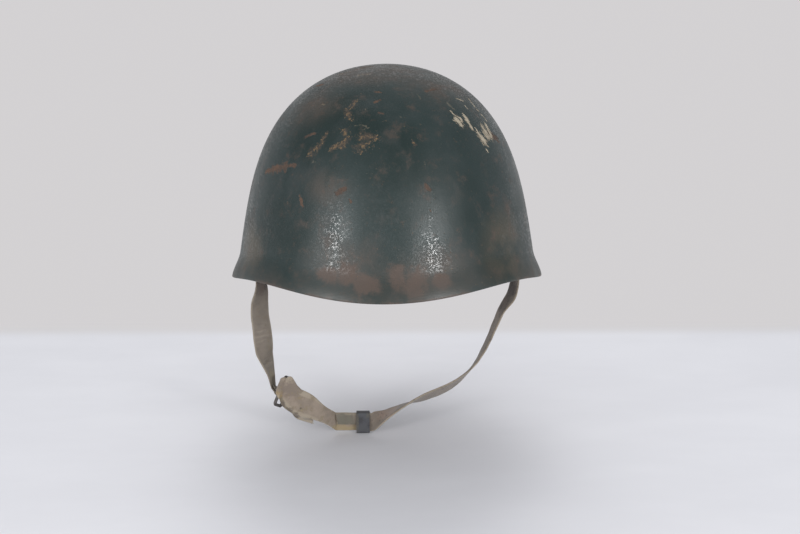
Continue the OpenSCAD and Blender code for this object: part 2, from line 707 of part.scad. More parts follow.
// The webbing goes straight along its sewn-back ends for these lengths
top_run = 14;
low_run = 9;
left_route = [
    [-102.2, 0, -9, 0.44, 0.9, 0, web_w],
    [-103.8, 0, -24, 0.79, 0.61, 0, web_w],
    [-104.2, 0, -34.3, 0.88, 0.48, 0, web_w],
    [-103.2, 0, -44.6, 0.88, 0.46, 0.08, web_w],
    [-102.3, 0, -55, 0.94, 0.35, 0.08, web_w],
    [-101.6, 0, -65.3, 0.86, 0.5, 0.08, web_w],
    [-100.5, 0, -70.6, 0.67, 0.73, 0.14, web_w],
    [-99.1, 0, -75.7, 0.49, 0.86, 0.12, web_w],
    [-97.6, -0.3, -81, 0.33, 0.94, 0.08, web_w],
    [-96.5, -0.8, -86.3, 0.23, 0.97, 0, 15]];
module strap_left() {
    top = sewn_end([-bar_x, 0, side_bar_z], fore, down, [-1, 0, 0], sewn_back, web_w);
    low = sewn_end(hold_mid, buckle_e, left_leave, left_side, sewn_low, hold_w);
    rows = concat([moved(last(top), top_run * down)], widened(left_route),
        [moved(last(low), low_run * left_leave)]);
    color([0.44, 0.41, 0.36])
    webbing(concat(top, spline(rows, 3), reversed(low)));
}

// The keeper's stretch is straight, so that the keeper can slide along it
keeper_x = -21;
keeper_y = 1;
keeper_z = -129.3;
stretch_lo = -44;
stretch_hi = -14;

// Route of the middle strap: a sewn end behind, round the front bar, then out to the keeper
middle_leave = square_to([0.92, 0, -0.39], buckle_d);
middle_side = cross(middle_leave, buckle_d);
middle_back = [
    [-60.8, -8, -117.6, 4.3, 0, 20.6, 20],
    [-67, -8.8, -114, 6, 0, 22, 22],
    [-73.5, -9.2, -109.2, 7, 0, 22, 24],
    [-78.6, -9.8, -101, 6.5, 0, 18, 20]];
middle_front = [
    [-82.4, -15.3, -97.7, 7.1, 0, 20.9, 22],
    [-76.1, -14.5, -103.8, 7.2, 0, 22.3, 23.4],
    [-69.3, -13.3, -108.2, 6.3, 0, 22.4, 23.3],
    [-61.3, -11.2, -112.1, 2.9, 0, 19.8, 20],
    [-52.2, -6.5, -120.1, 0.3, 0, 16, 16]];
front_slip = 1.1;
front_spread = 1.6;
back_run = 6;
module strap_middle() {
    wrap = half_turn(buckle_bar, buckle_d, middle_leave, middle_side, fold_w);
    // The webbing is bunched inside the frame and spreads as it comes to the front
    turn = [for (i = [0:8]) let (u = max(0, i - 4) / 4)
        station(place(wrap[i]) - front_slip * u * buckle_d, buckle_d, mix(fold_w, web_w + front_spread, u))];
    back = spline(concat(widened(middle_back), [moved(turn[0], back_run * middle_leave)]), 3);
    front = spline(concat([moved(last(turn), unit([0.67, 0, -0.74]))], widened(middle_front),
        [station([stretch_lo, keeper_y + layer / 2, keeper_z], [0, 0, 1], web_w)]), 3);
    straight = [for (i = [1:3])
        station([mix(stretch_lo, stretch_hi - 1, i / 3), keeper_y + layer / 2, keeper_z], [0, 0, 1], web_w)];
    color([0.56, 0.5, 0.42])
    webbing(concat(back, turn, front, straight), true);
}

// Route of the right strap from its side ring down to the keeper, where it ends in front
right_route = [
    [103.4, 1, -9, -0.3, 0.95, 0.1, web_w],
    [100.6, 1.5, -20, -0.3, 0.94, 0.15, web_w],
    [94.1, 2, -30.4, -0.13, 0.98, 0.1, web_w],
    [91.7, 2, -35.5, -0.13, 0.99, 0.06, web_w],
    [87.6, 2, -45.8, -0.1, 0.99, 0.04, web_w],
    [83.6, 2, -56.1, -0.05, 1, 0.02, web_w],
    [78.8, 2, -66.5, -0.01, 1, 0, web_w],
    [73, 2, -76.9, 0.04, 1, -0.03, web_w],
    [64.4, 2, -87.4, 0.05, 1, -0.05, web_w],
    [54.9, 2, -95.6, 0.01, 1, -0.01, web_w],
    [45, 2, -101.5, -0.03, 1, 0.05, web_w],
    [35, 2, -105.8, -0.03, 1, 0.06, web_w],
    [25, 2, -110.1, -0.01, 1, 0.03, web_w],
    [15, 1.8, -114.2, 0.03, 0.98, -0.15, web_w],
    [5, 1.2, -119.2, -0.02, 0.99, 0, web_w],
    [-3, 0.5, -123.9, 0, 0.95, 0.3, web_w],
    [-9, 0.1, -127.2, 0, 0.7, 0.7, web_w]];
end_h = 8;
end_slant = 8;
module strap_right() {
    top = sewn_end(side_bar, fore, down, [1, 0, 0], sewn_back, web_w);
    rows = concat([moved(last(top), top_run * down)], widened(right_route),
        [station([stretch_hi, keeper_y - layer / 2, keeper_z], [0, 0, 1], web_w)]);
    straight = [for (i = [1:3])
        station([mix(stretch_hi, stretch_lo, i / 3), keeper_y - layer / 2, keeper_z], [0, 0, 1], web_w)];
    color([0.42, 0.42, 0.36])
    difference() {
        webbing(concat(top, spline(rows, 3), straight), true);
        // The free end is cut on a slant
        translate([stretch_lo, 0, keeper_z + web_w / 2 - end_h])
        rotate([0, end_slant, 0])
        translate([-10, -10, -20])
        cube([10 - stretch_lo + keeper_x, 20, 20]);
    }
}

module keeper() {
    clear_z = web_w + 2 * web_gap;
    clear_y = 2 * web_t + 3 * web_gap;
    corner = keeper_t + 0.4;
    color([0.34, 0.35, 0.36])
    translate([keeper_x, keeper_y, keeper_z])
    rotate([90, 0, 90])
    linear_extrude(keeper_l, center = true)
    difference() {
        offset(r = corner, $fn = 24)
        square([clear_y + 2 * keeper_t - 2 * corner, clear_z + 2 * keeper_t - 2 * corner], center = true);
        square([clear_y, clear_z], center = true);
    }
}

shell();
vent_rivet(vent_az[0]);  // vent_rivet_left
vent_rivet(vent_az[1]);  // vent_rivet_right
vent_rivet(vent_az[2]);  // vent_rivet_rear
spacer(vent_az[0]);  // spacer_left
spacer(vent_az[1]);  // spacer_right
spacer(vent_az[2]);  // spacer_rear
rivet_washer(vent_az[0]);  // rivet_washer_left
rivet_washer(vent_az[1]);  // rivet_washer_right
rivet_washer(vent_az[2]);  // rivet_washer_rear
outer_band();
inner_band();
band_spring(spring_az[0]);  // band_spring_1
band_spring(spring_az[1]);  // band_spring_2
band_spring(spring_az[2]);  // band_spring_3
band_spring(spring_az[3]);  // band_spring_4
band_spring(spring_az[4]);  // band_spring_5
band_spring(spring_az[5]);  // band_spring_6
spring_rivets();
leather_liner();
leather_rivets();
liner_lace();
mirror([1, 0, 0]) strap_rivet();  // strap_rivet_left
strap_rivet();  // strap_rivet_right
mirror([1, 0, 0]) strap_hanger();  // strap_hanger_left
strap_hanger();  // strap_hanger_right
mirror([1, 0, 0]) side_ring();  // side_ring_left
side_ring();  // side_ring_right
strap_left();
strap_middle();
strap_right();
buckle_ring();
keeper();
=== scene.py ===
# %% [markdown]
# # A steel helmet with its liner and chin strap
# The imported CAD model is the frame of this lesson: it says where every piece is. We load it,
# keep the pieces whose shape is right, and build finer ones where a solid is too plain: the
# drawn shell, the liner's bands and springs, the leather, the lace and the three straps. All
# lengths in the formulas are in millimetres, and a mesh gets metres only when it is made.

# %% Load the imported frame
import math
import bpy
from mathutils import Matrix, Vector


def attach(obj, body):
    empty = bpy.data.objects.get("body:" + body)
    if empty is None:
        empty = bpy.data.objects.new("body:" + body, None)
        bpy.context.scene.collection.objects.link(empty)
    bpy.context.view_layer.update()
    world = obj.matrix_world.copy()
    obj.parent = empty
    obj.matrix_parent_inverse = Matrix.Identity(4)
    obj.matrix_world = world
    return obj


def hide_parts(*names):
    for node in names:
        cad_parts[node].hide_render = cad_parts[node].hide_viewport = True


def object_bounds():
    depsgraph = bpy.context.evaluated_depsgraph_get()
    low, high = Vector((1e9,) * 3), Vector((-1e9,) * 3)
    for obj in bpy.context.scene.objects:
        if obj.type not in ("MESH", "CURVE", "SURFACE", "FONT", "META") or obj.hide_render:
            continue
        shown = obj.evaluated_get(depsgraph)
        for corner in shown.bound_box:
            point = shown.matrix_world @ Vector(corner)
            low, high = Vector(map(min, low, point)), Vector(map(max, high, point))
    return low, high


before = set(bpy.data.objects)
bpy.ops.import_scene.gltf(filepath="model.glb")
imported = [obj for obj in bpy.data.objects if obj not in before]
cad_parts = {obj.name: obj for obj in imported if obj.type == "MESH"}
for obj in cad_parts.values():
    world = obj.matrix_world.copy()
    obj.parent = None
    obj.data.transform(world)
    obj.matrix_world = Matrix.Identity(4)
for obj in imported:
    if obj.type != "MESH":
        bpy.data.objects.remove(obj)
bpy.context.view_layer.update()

from types import SimpleNamespace

import bpy
import numpy as np
from mathutils import Matrix, Vector

MM = 0.001

# %% [markdown]
# ## The camera
# The camera was fitted to the photograph's outline of the shell: it stands 936 mm in front of
# the helmet and 256 mm above its side rim, and looks down by 15 degrees. Its axes are worked
# out from the three angles, so nothing depends on the order in which Euler angles are turned.

# %% Camera
FOCAL_LENGTH = 54.0
SENSOR_WIDTH = 36.0
CAMERA_SIDE, CAMERA_BACK, CAMERA_HEIGHT = 10.459, 936.273, 255.890
PITCH, YAW, ROLL = (math.radians(a) for a in (14.996, -0.263, 0.243))


def camera_matrix():
    """Columns are the camera's right, up and backward axes, then its place in metres."""
    turn = Matrix.Rotation(-YAW, 3, "Z")
    right = turn @ Vector((1, 0, 0))
    up = turn @ Vector((0, math.sin(PITCH), math.cos(PITCH)))
    back = turn @ Vector((0, -math.cos(PITCH), math.sin(PITCH)))
    rolled_right = right * math.cos(ROLL) - up * math.sin(ROLL)
    rolled_up = right * math.sin(ROLL) + up * math.cos(ROLL)
    place = turn @ Vector((CAMERA_SIDE, -CAMERA_BACK, CAMERA_HEIGHT)) * MM
    axes = Matrix((rolled_right, rolled_up, back)).transposed().to_4x4()
    return Matrix.Translation(place) @ axes


def placed(name, data):
    """A new object in the scene, at the origin."""
    thing = bpy.data.objects.new(name, data)
    bpy.context.scene.collection.objects.link(thing)
    return thing


lens = bpy.data.cameras.new("camera")
lens.lens = FOCAL_LENGTH
lens.sensor_width = SENSOR_WIDTH
camera = placed("camera", lens)
camera.matrix_world = camera_matrix()
bpy.context.scene.camera = camera
print("Camera at", [round(c, 3) for c in camera.matrix_world.translation])

# %% [markdown]
# ## Meshes from arrays
# A surface is a grid of points, row after row. Its faces are the quads between neighbouring
# rows and columns, so they can be numbered for any grid at once. A closed surface has to have
# its faces outward, and the sign of its volume tells whether they are.


# %% Grids and faces
def grid_quads(rows, cols, ring=False, first=0):
    """Index quads of a grid of rows by cols points; a ring joins the last column to the first."""
    i, j = np.meshgrid(np.arange(rows - 1), np.arange(cols if ring else cols - 1), indexing="ij")
    k = (j + 1) % cols
    quads = np.stack([i * cols + j, i * cols + k, (i + 1) * cols + k, (i + 1) * cols + j], -1)
    return quads.reshape(-1, 4) + first


def unit(v):
    """Each vector divided by its own length."""
    return v / np.linalg.norm(v, axis=-1, keepdims=True)


def outward(points, quads):
    """Quads turned round if the volume, a sum of corner products, comes out negative."""
    a, b, c, d = (points[quads[:, k]] for k in range(4))
    volume = (a * np.cross(b, c)).sum() + (a * np.cross(c, d)).sum()
    return quads if volume > 0 else quads[:, ::-1]


def vec(*numbers):
    """An array of floats."""
    return np.array(numbers, float)


print("Quads on a ring of 3 rows of 4 points:", len(grid_quads(3, 4, ring=True)))

# %% [markdown]
# Every new piece rides on a body of the frame, takes its finish and may stand for a solid,
# which is then hidden. The object itself stays at the origin, with its place in its mesh.
# Lengths that a finish needs, such as how far along a strap a point is, are kept on the points
# as one vector called run.


# %% Pieces
def mesh_of(name, points, faces):
    """A mesh from points in millimetres."""
    mesh = bpy.data.meshes.new(name)
    mesh.from_pydata((points * MM).tolist(), [], faces)
    return mesh


def make_piece(name, points, faces, finish, body, stands_for=(), run=None):
    """A smooth mesh piece from points in millimetres, riding on a body of the frame."""
    mesh = mesh_of(name, points, faces)
    mesh.polygons.foreach_set("use_smooth", np.ones(len(mesh.polygons), bool))
    if run is not None:
        lengths = mesh.attributes.new("run", "FLOAT_VECTOR", "POINT")
        lengths.data.foreach_set("vector", (run * MM).astype(np.float32).ravel())
    mesh.materials.append(finish)
    piece = placed(name, mesh)
    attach(piece, body)
    if stands_for:
        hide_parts(*stands_for)
    print(f"{name}: {len(mesh.polygons)} faces")
    return piece


print("Solids in the frame:", len(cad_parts))

# %% [markdown]
# ## Shader maths in plain expressions
# A worn surface is a lot of arithmetic: masks are multiplied, thresholds moved by noise. Wired
# by hand that is a maze, so a small class wraps a socket and lets Python's operators add the
# Math nodes. Every other node comes from one method that takes its type, settings and inputs.


# %% Values
class Value:
    """A number or colour that varies over the surface."""

    def __init__(self, finish, socket):
        self.finish, self.socket = finish, socket

    def __add__(self, other):
        return self.finish.math("ADD", self, other)

    def __sub__(self, other):
        return self.finish.math("SUBTRACT", self, other)

    def __rsub__(self, other):
        return self.finish.math("SUBTRACT", other, self)

    def __mul__(self, other):
        return self.finish.math("MULTIPLY", self, other)

    def __truediv__(self, other):
        return self.finish.math("DIVIDE", self, other)

    def __pow__(self, other):
        return self.finish.math("POWER", self, other)

    __radd__, __rmul__ = __add__, __mul__


print("Values can be added, subtracted, multiplied, divided and raised to a power")


# %% Nodes
class Wires:
    """The nodes of a material or a world."""

    def __init__(self, tree):
        self.tree = tree

    def plug(self, node, key, value):
        """Links a value to a socket, found by number, name or identifier, or sets it."""
        if isinstance(key, int):
            socket = node.inputs[key]
        else:
            socket = next(s for s in node.inputs if key in (s.identifier, s.name))
        if isinstance(value, Value):
            self.tree.links.new(value.socket, socket)
        elif socket.type == "RGBA":
            socket.default_value = (*value[:3], 1)
        else:
            socket.default_value = value

    def node(self, kind, settings=(), out=0, **inputs):
        """Adds a node, sets it, plugs its inputs and gives back one output."""
        node = self.tree.nodes.new("ShaderNode" + kind)
        for name, value in dict(settings).items():
            setattr(node, name, value)
        for key, value in inputs.items():
            self.plug(node, int(key[1:]) if key[1:].isdigit() else key, value)
        return Value(self, node.outputs[out])

    def math(self, operation, a, b=0.5):
        """A Math node; one that takes a single number leaves b alone."""
        return self.node("Math", {"operation": operation}, _0=a, _1=b)

    def most(self, first, *others):
        """The greatest of some values."""
        for other in others:
            first = self.math("MAXIMUM", first, other)
        return first

    def vector(self, operation, a, b=(0, 0, 0), out="Vector"):
        return self.node("VectorMath", {"operation": operation}, out, _0=a, _1=b)

    def length(self, vector):
        return self.vector("LENGTH", vector, out="Value")

    def part(self, vector, axis):
        """One of a vector's three numbers."""
        return self.node("SeparateXYZ", out=axis, Vector=vector)

    def place(self):
        """Object coordinates in metres, the same as the frame's."""
        return self.node("TexCoord", out="Object")

    def run(self):
        """The first two lengths kept on the points: for a strap, along it and across it."""
        run = self.node("Attribute", {"attribute_name": "run"}, "Vector")
        return self.part(run, "X"), self.part(run, "Y")

    def scaled(self, place, factors):
        return self.vector("MULTIPLY", place, factors)

    def noise(self, place, scale, detail=2.0, rough=0.5):
        return self.node("TexNoise", Vector=place, Scale=scale, Detail=detail, Roughness=rough)

    def step(self, value, lo, hi, first=0.0, last=1.0):
        """Smooth step from first to last while the value goes from lo to hi."""
        return self.node("MapRange", {"interpolation_type": "SMOOTHSTEP"}, _0=value, _1=lo,
                         _2=hi, _3=first, _4=last)

    def mix(self, share, a, b):
        """Colour a where the share is 0, colour b where it is 1."""
        return self.node("Mix", {"data_type": "RGBA"}, 2, Factor_Float=share, A_Color=a,
                         B_Color=b)

    def seen(self):
        """1 where an eye, a gloss or a glass looks, 0 where light is only gathered."""
        return self.most(*(self.node("LightPath", out=f"Is {kind} Ray")
                           for kind in ("Camera", "Glossy", "Transmission")))

    def output(self, shader, node="Material Output"):
        self.plug(self.tree.nodes[node], "Surface", shader)


print("Wires make numbers, vectors, noise, smooth steps and mixes")

# %% [markdown]
# Wear sits at places, so it is drawn with two kinds of mask. A patch is an ellipsoid round a
# centre, and a stroke is a short thick line. Both fade to their edge, and torn moves that fade
# up and down by noise before it is cut to a step, which gives the ragged edge of a real chip.


# %% Masks and finishes
class Finish(Wires):
    """A material being built round its Principled shader."""

    def __init__(self, name, **constants):
        self.material = bpy.data.materials.new(name)
        self.material.use_nodes = True
        super().__init__(self.material.node_tree)
        self.shader = self.tree.nodes["Principled BSDF"]
        for socket, value in constants.items():
            self.shader.inputs[socket.replace("_", " ")].default_value = value

    def patch(self, place, centre, radii, soft=0.6):
        """1 inside an ellipsoid round a centre in millimetres, fading to 0 at its radii."""
        shift = self.vector("SUBTRACT", place, [c * MM for c in centre])
        reach = self.scaled(shift, [1 / (r * MM) for r in radii])
        return self.step(self.length(reach), 1 - soft, 1, 1, 0)

    def patches(self, place, spots, soft=0.6):
        """The strongest of several patches, each a centre and its radii."""
        return self.most(*(self.patch(place, *spot, soft) for spot in spots))

    def stroke(self, place, start, end, radius):
        """1 on the line between two points in millimetres, 0 at its radius, less beyond."""
        line = [(b - a) * MM for a, b in zip(start, end)]
        square = sum(c * c for c in line)
        shift = self.vector("SUBTRACT", place, [a * MM for a in start])
        share = self.vector("DOT_PRODUCT", shift, [c / square for c in line], "Value")
        share = self.node("Clamp", Value=share)
        along = self.node("VectorMath", {"operation": "SCALE"}, _0=line, Scale=share)
        away = self.length(self.vector("SUBTRACT", shift, along))
        return 1 - away / (radius * MM)

    def strokes(self, place, marks):
        """The strongest of several strokes, each two points and a radius."""
        return self.most(*(self.stroke(place, *mark) for mark in marks))

    def torn(self, field, noise, reach, lo, hi):
        """A mask of a field whose edge is torn by noise; the noise lies round a half."""
        return self.step(field + (noise - 0.5) * reach, lo, hi)

    def finish(self, colour=None, rough=None, bumps=(), metal=None, coat=None):
        """Plugs what varies into the shader. Bumps are height, depth in metres, strength."""
        varying = {"Base Color": colour, "Roughness": rough, "Metallic": metal,
                   "Coat Weight": coat}
        for height, depth, strength in bumps:
            below = {"Normal": varying["Normal"]} if "Normal" in varying else {}
            varying["Normal"] = self.node("Bump", Height=height, Distance=depth,
                                          Strength=strength, **below)
        for socket, value in varying.items():
            if value is not None:
                self.plug(self.shader, socket, value)
        return self.material


print("Finishes have patches, strokes and torn edges")

# %% [markdown]
# ## The shell's paint
# Old paint on pressed steel: a dark bluish green-grey that has gone brown at the crown and along
# the brow. Chips show ochre primer and rust, one group of crisp flakes shows a cream undercoat,
# and small specks and pits lie all over. The places of the wear are given as short strokes on
# the shell, each from one point to another with a width, and noise tears their edges. The sheen
# has two parts: a broad one from the rough paint, and a thin coat that is polished only in
# specks, so that it breaks a lamp's reflection into glints. A painted picture would be sharp at
# one distance only; noise is sharp at all of them, and a stroke can be moved by its numbers.

# %% Places of the wear
OCHRE_MARKS = [
    ((-21, -71, 148), (-23, -76, 144), 3.9), ((-27, -77, 142), (-24, -85, 137), 3.6),
    ((-28, -91, 130), (-27, -95, 126), 3.0), ((-26, -96, 126), (-30, -99, 119), 4.2),
    ((-16, -98, 127), (-7, -100, 126), 5.1), ((-17, -103, 119), (-10, -103, 122), 5.4),
    ((-35, -15, 161), (-26, -17, 162), 2.4), ((20, -99, 123), (22, -101, 121), 1.6),
    ((-41, -87, 127), (-45, -90, 121), 2.7), ((-47, -90, 118), (-53, -90, 113), 3.9),
    ((-32, -97, 120), (-38, -97, 117), 3.0), ((-15, -105, 117), (-16, -106, 116), 1.5)]
BACK_CHIPS = [((-54, 76, 120), (24, 24, 17)), ((45, 92, 114), (17, 17, 12)),
              ((-84, 66, 93), (12, 16, 9)), ((-2, 117, 86), (19, 14, 12)),
              ((84, 52, 88), (9, 14, 12)), ((20, 40, 160), (22, 16, 14))]
PALE_MARKS = [
    ((46, -59, 144), (50, -61, 141), 2.4), ((-20, -91, 133), (-16, -91, 134), 1.4),
    ((-16, -91, 134), (-11, -94, 132), 1.0), ((-12, -94, 131), (-16, -94, 130), 1.0),
    ((-14, -80, 144), (-13, -81, 142), 0.8), ((-46, -59, 144), (-44, -62, 144), 1.0),
    ((-51, -95, 108), (-49, -96, 108), 1.0), ((24, -63, 151), (26, -66, 149), 1.2),
    ((11, -86, 139), (12, -87, 138), 0.8), ((27, -107, 110), (29, -107, 108), 1.2),
    ((-22, -33, 162), (-13, -33, 163), 2.6)]
RUST_MARKS = [
    ((-82, -65, 97), (-72, -78, 101), 4.6), ((-89, -56, 94), (-80, -68, 97), 2.8),
    ((-74, -76, 102), (-64, -86, 104), 2.2),
    ((-56, -77, 123), (-50, -81, 126), 1.7), ((-7, -75, 147), (-3, -73, 149), 1.5),
    ((-4, -84, 141), (0, -85, 140), 1.5), ((-7, -64, 154), (-3, -65, 153), 1.4),
    ((30, -56, 153), (39, -45, 153), 1.5), ((29, -114, 95), (32, -114, 91), 2.0),
    ((32, -119, 78), (33, -118, 76), 0.9), ((78, -48, 120), (84, -42, 115), 4.8),
    ((-33, -115, 89), (-27, -115, 93), 2.6), ((-24, -119, 86), (-23, -120, 84), 1.2),
    ((-60, -100, 84), (-58, -104, 78), 1.8), ((-18, -6, 166), (-10, -8, 166), 2.6),
    ((4, -8, 167), (9, -10, 167), 1.6), ((-52, -20, 154), (-47, -26, 154), 2.2)]
CREAM_MARKS = [
    ((48, -65, 140), (52, -67, 136), 0.9), ((52, -69, 134), (55, -70, 131), 3.0),
    ((55, -65, 135), (56, -67, 133), 1.8), ((58, -59, 136), (61, -62, 131), 1.6),
    ((60, -62, 132), (64, -65, 127), 2.0), ((66, -61, 127), (69, -62, 123), 0.8),
    ((73, -52, 125), (75, -54, 120), 3.6), ((75, -44, 126), (79, -50, 118), 2.4),
    ((70, -63, 121), (73, -62, 116), 3.2), ((73, -64, 116), (76, -62, 113), 1.0),
    ((74, -66, 112), (76, -66, 110), 0.7), ((63, -30, 144), (67, -35, 139), 0.9),
    ((68, -36, 137), (70, -37, 136), 0.9), ((72, -37, 133), (76, -37, 128), 0.8),
    ((59, -47, 141), (61, -48, 139), 0.7), ((53, -45, 146), (58, -42, 144), 0.8)]
BROWN_ZONES = [((-6, -26, 164), (76, 46, 22)), ((-50, -54, 140), (40, 34, 22)),
               ((36, -40, 152), (48, 44, 18)), ((-38, -108, 92), (24, 24, 18)),
               ((-30, -130, 42), (54, 34, 30)), ((34, -128, 36), (56, 36, 24)),
               ((30, 60, 130), (60, 60, 40))]
BROW_ZONES = [((-40, -128, 34), (14, 22, 10)), ((-26, -133, 35), (13, 22, 12)),
              ((-13, -136, 29), (15, 22, 14)), ((10, -136, 33), (11, 22, 17)),
              ((22, -135, 31), (15, 22, 16)), ((40, -127, 29), (13, 22, 9))]
OLIVE_ZONES = [((88, -84, 42), (34, 42, 40)), ((-100, -62, 36), (24, 34, 28)),
               ((60, 100, 40), (50, 50, 34)), ((-70, 95, 60), (40, 44, 40))]
print("Marks on the paint:", sum(map(len, (OCHRE_MARKS, PALE_MARKS, RUST_MARKS, CREAM_MARKS))))

# %% Colours of the paint
GREEN_GREY = (0.025, 0.040, 0.039)
DARK_GREEN = (0.016, 0.029, 0.027)
DUSTY_GREY = (0.045, 0.054, 0.055)
BROWN_FILM = (0.067, 0.057, 0.047)
BROW_BROWN = (0.098, 0.066, 0.051)
OLIVE_FILM = (0.066, 0.059, 0.042)
RUST = (0.130, 0.070, 0.042)
DARK_RUST = (0.072, 0.046, 0.034)
OCHRE = (0.215, 0.138, 0.062)
PRIMER = (0.095, 0.064, 0.048)
CREAM = (0.385, 0.335, 0.255)
CREAM_DIRT = (0.20, 0.165, 0.115)
SPECK_GREY = (0.16, 0.14, 0.115)
PIT_BLACK = (0.018, 0.014, 0.012)
print("Ochre primer over green:", [round(o / g, 1) for o, g in zip(OCHRE, GREEN_GREY)], "times")

# %% [markdown]
# The paint is built up as it aged: green paint under films of dirt, then rust, chips, cream
# flakes, and specks and pits. Each layer is a function that takes the colour so far and gives
# back the new one with its own mask, because the sheen and the bumps need the masks too. All
# of them share the same few noises, so that one cloud moves several layers together.


# %% Films of dirt and rust
def paint_noises(f, p):
    """Clouds, streaks down the wall and two sizes of grain."""
    return SimpleNamespace(broad=f.noise(p, 13, 3), cloud=f.noise(p, 42, 4, 0.6),
                           flow=f.noise(f.scaled(p, (1, 1, 0.45)), 55, 5, 0.62),
                           grain=f.noise(p, 560, 6, 0.68), fine=f.noise(p, 1300, 3, 0.6))


def filmed(f, p, n):
    """Two tones of green with a dusty bloom, then brown, olive and brow films."""
    colour = f.mix(f.step(n.broad, 0.38, 0.66), GREEN_GREY, DARK_GREEN)
    colour = f.mix(f.step(n.flow, 0.48, 0.75) * 0.35, colour, DUSTY_GREY)
    brown = f.patches(p, BROWN_ZONES, 0.85) * f.step(n.flow + n.broad * 0.5, 0.50, 0.90)
    brown = f.most(brown, f.step(n.cloud + n.flow * 0.6, 0.88, 1.10) * 0.35)
    olive = f.patches(p, OLIVE_ZONES, 0.8) * f.step(n.cloud, 0.25, 0.60)
    brow = f.torn(f.patches(p, BROW_ZONES, 0.9), f.noise(p, 80, 7, 0.72), 3.0, 0.05, 0.90)
    colour = f.mix(brown * 0.85, colour, BROWN_FILM)
    colour = f.mix(olive * 0.90, colour, OLIVE_FILM)
    return f.mix(brow * 0.80, colour, BROW_BROWN), brown, brow


def rusted(f, p, n, colour, brown, wear):
    """Rust that at first only tints the paint, and then is solid."""
    tone = f.mix(f.step(n.fine * 0.4 + n.cloud * 0.6, 0.42, 0.58), RUST, DARK_RUST)
    faint = f.step(f.noise(p, 120, 5, 0.7) + brown * 0.10, 0.62, 0.74) * 0.30
    rust = f.torn(f.strokes(p, RUST_MARKS), f.noise(p, 330, 7, 0.72), 3.4, 0.15, 0.60) * wear
    return f.mix(rust * 0.80, f.mix(faint, colour, tone), tone), rust


print("Films and rust:", len(BROWN_ZONES + BROW_ZONES + OLIVE_ZONES), "zones and",
      len(RUST_MARKS), "marks")

# %% Chips, cream flakes and specks
SLANT = (0.65, 0.10, -0.75)
SLANT_SIDES = ((0.60, 0.55, 0.58), (0.47, -0.83, 0.30))
SLANT_STRETCH = 0.32
SPECK_SCALE = 95.0


def chipped(f, p, n, colour, wear):
    """Chips down to ochre primer, stained round their edges, and pale scuffs."""
    flakes = f.noise(p, 480, 8, 0.76)
    field = f.most(f.strokes(p, OCHRE_MARKS), f.patches(p, BACK_CHIPS, 0.9) * 0.9 - 0.35)
    stain_and_shade = f.torn(field, f.noise(p, 170, 6, 0.7), 4.0, 0.1, 1.1) * wear
    chip = f.torn(field, flakes, 9.0, 0.80, 1.30) * wear
    pale = f.torn(f.strokes(p, PALE_MARKS), flakes, 7.0, 0.45, 0.90) * wear
    primer = f.mix(f.step(n.fine + n.grain * 0.3, 0.56, 0.78), OCHRE, PRIMER)
    colour = f.mix(stain_and_shade * 0.45, colour, PRIMER)
    colour = f.mix(chip * 0.85, colour, primer)
    return f.mix(pale * 0.40, colour, CREAM_DIRT), chip


def flaked(f, p, n, colour, wear):
    """Cream flakes torn along one slant, and darker where their edges are thin."""
    across, through = (f.vector("DOT_PRODUCT", p, way, "Value") for way in SLANT_SIDES)
    along = f.vector("DOT_PRODUCT", p, SLANT, "Value") * SLANT_STRETCH
    tear = f.noise(f.node("CombineXYZ", _0=along, _1=across, _2=through), 700, 6, 0.68)
    field = f.strokes(p, CREAM_MARKS)
    cream = f.torn(field, tear, 5.0, 0.05, 0.20) * wear
    tone = f.mix(f.torn(field, tear, 5.0, 0.1, 0.9), CREAM_DIRT, CREAM)
    tone = f.mix(f.step(n.fine, 0.55, 0.75) * 0.5, tone, CREAM_DIRT)
    return f.mix(cream * 0.95, colour, tone), cream


def speckled(f, p, n, colour, wear):
    """Specks and pits: one small spot in some cells of a Voronoi pattern."""
    away = f.node("TexVoronoi", out="Distance", Vector=p, Scale=SPECK_SCALE)
    cell = f.node("TexVoronoi", out="Color", Vector=p, Scale=SPECK_SCALE)
    pick = f.node("SeparateColor", Color=cell)
    spot = f.step(away + n.grain * 0.10, 0.105, 0.080) * wear
    speck, pit = spot * f.step(pick, 0.90, 0.92), spot * f.step(pick, 0.12, 0.10)
    return f.mix(pit * 0.75, f.mix(speck * 0.40, colour, SPECK_GREY), PIT_BLACK), pit


print("Chips and flakes:", len(OCHRE_MARKS), "and", len(CREAM_MARKS), "strokes")


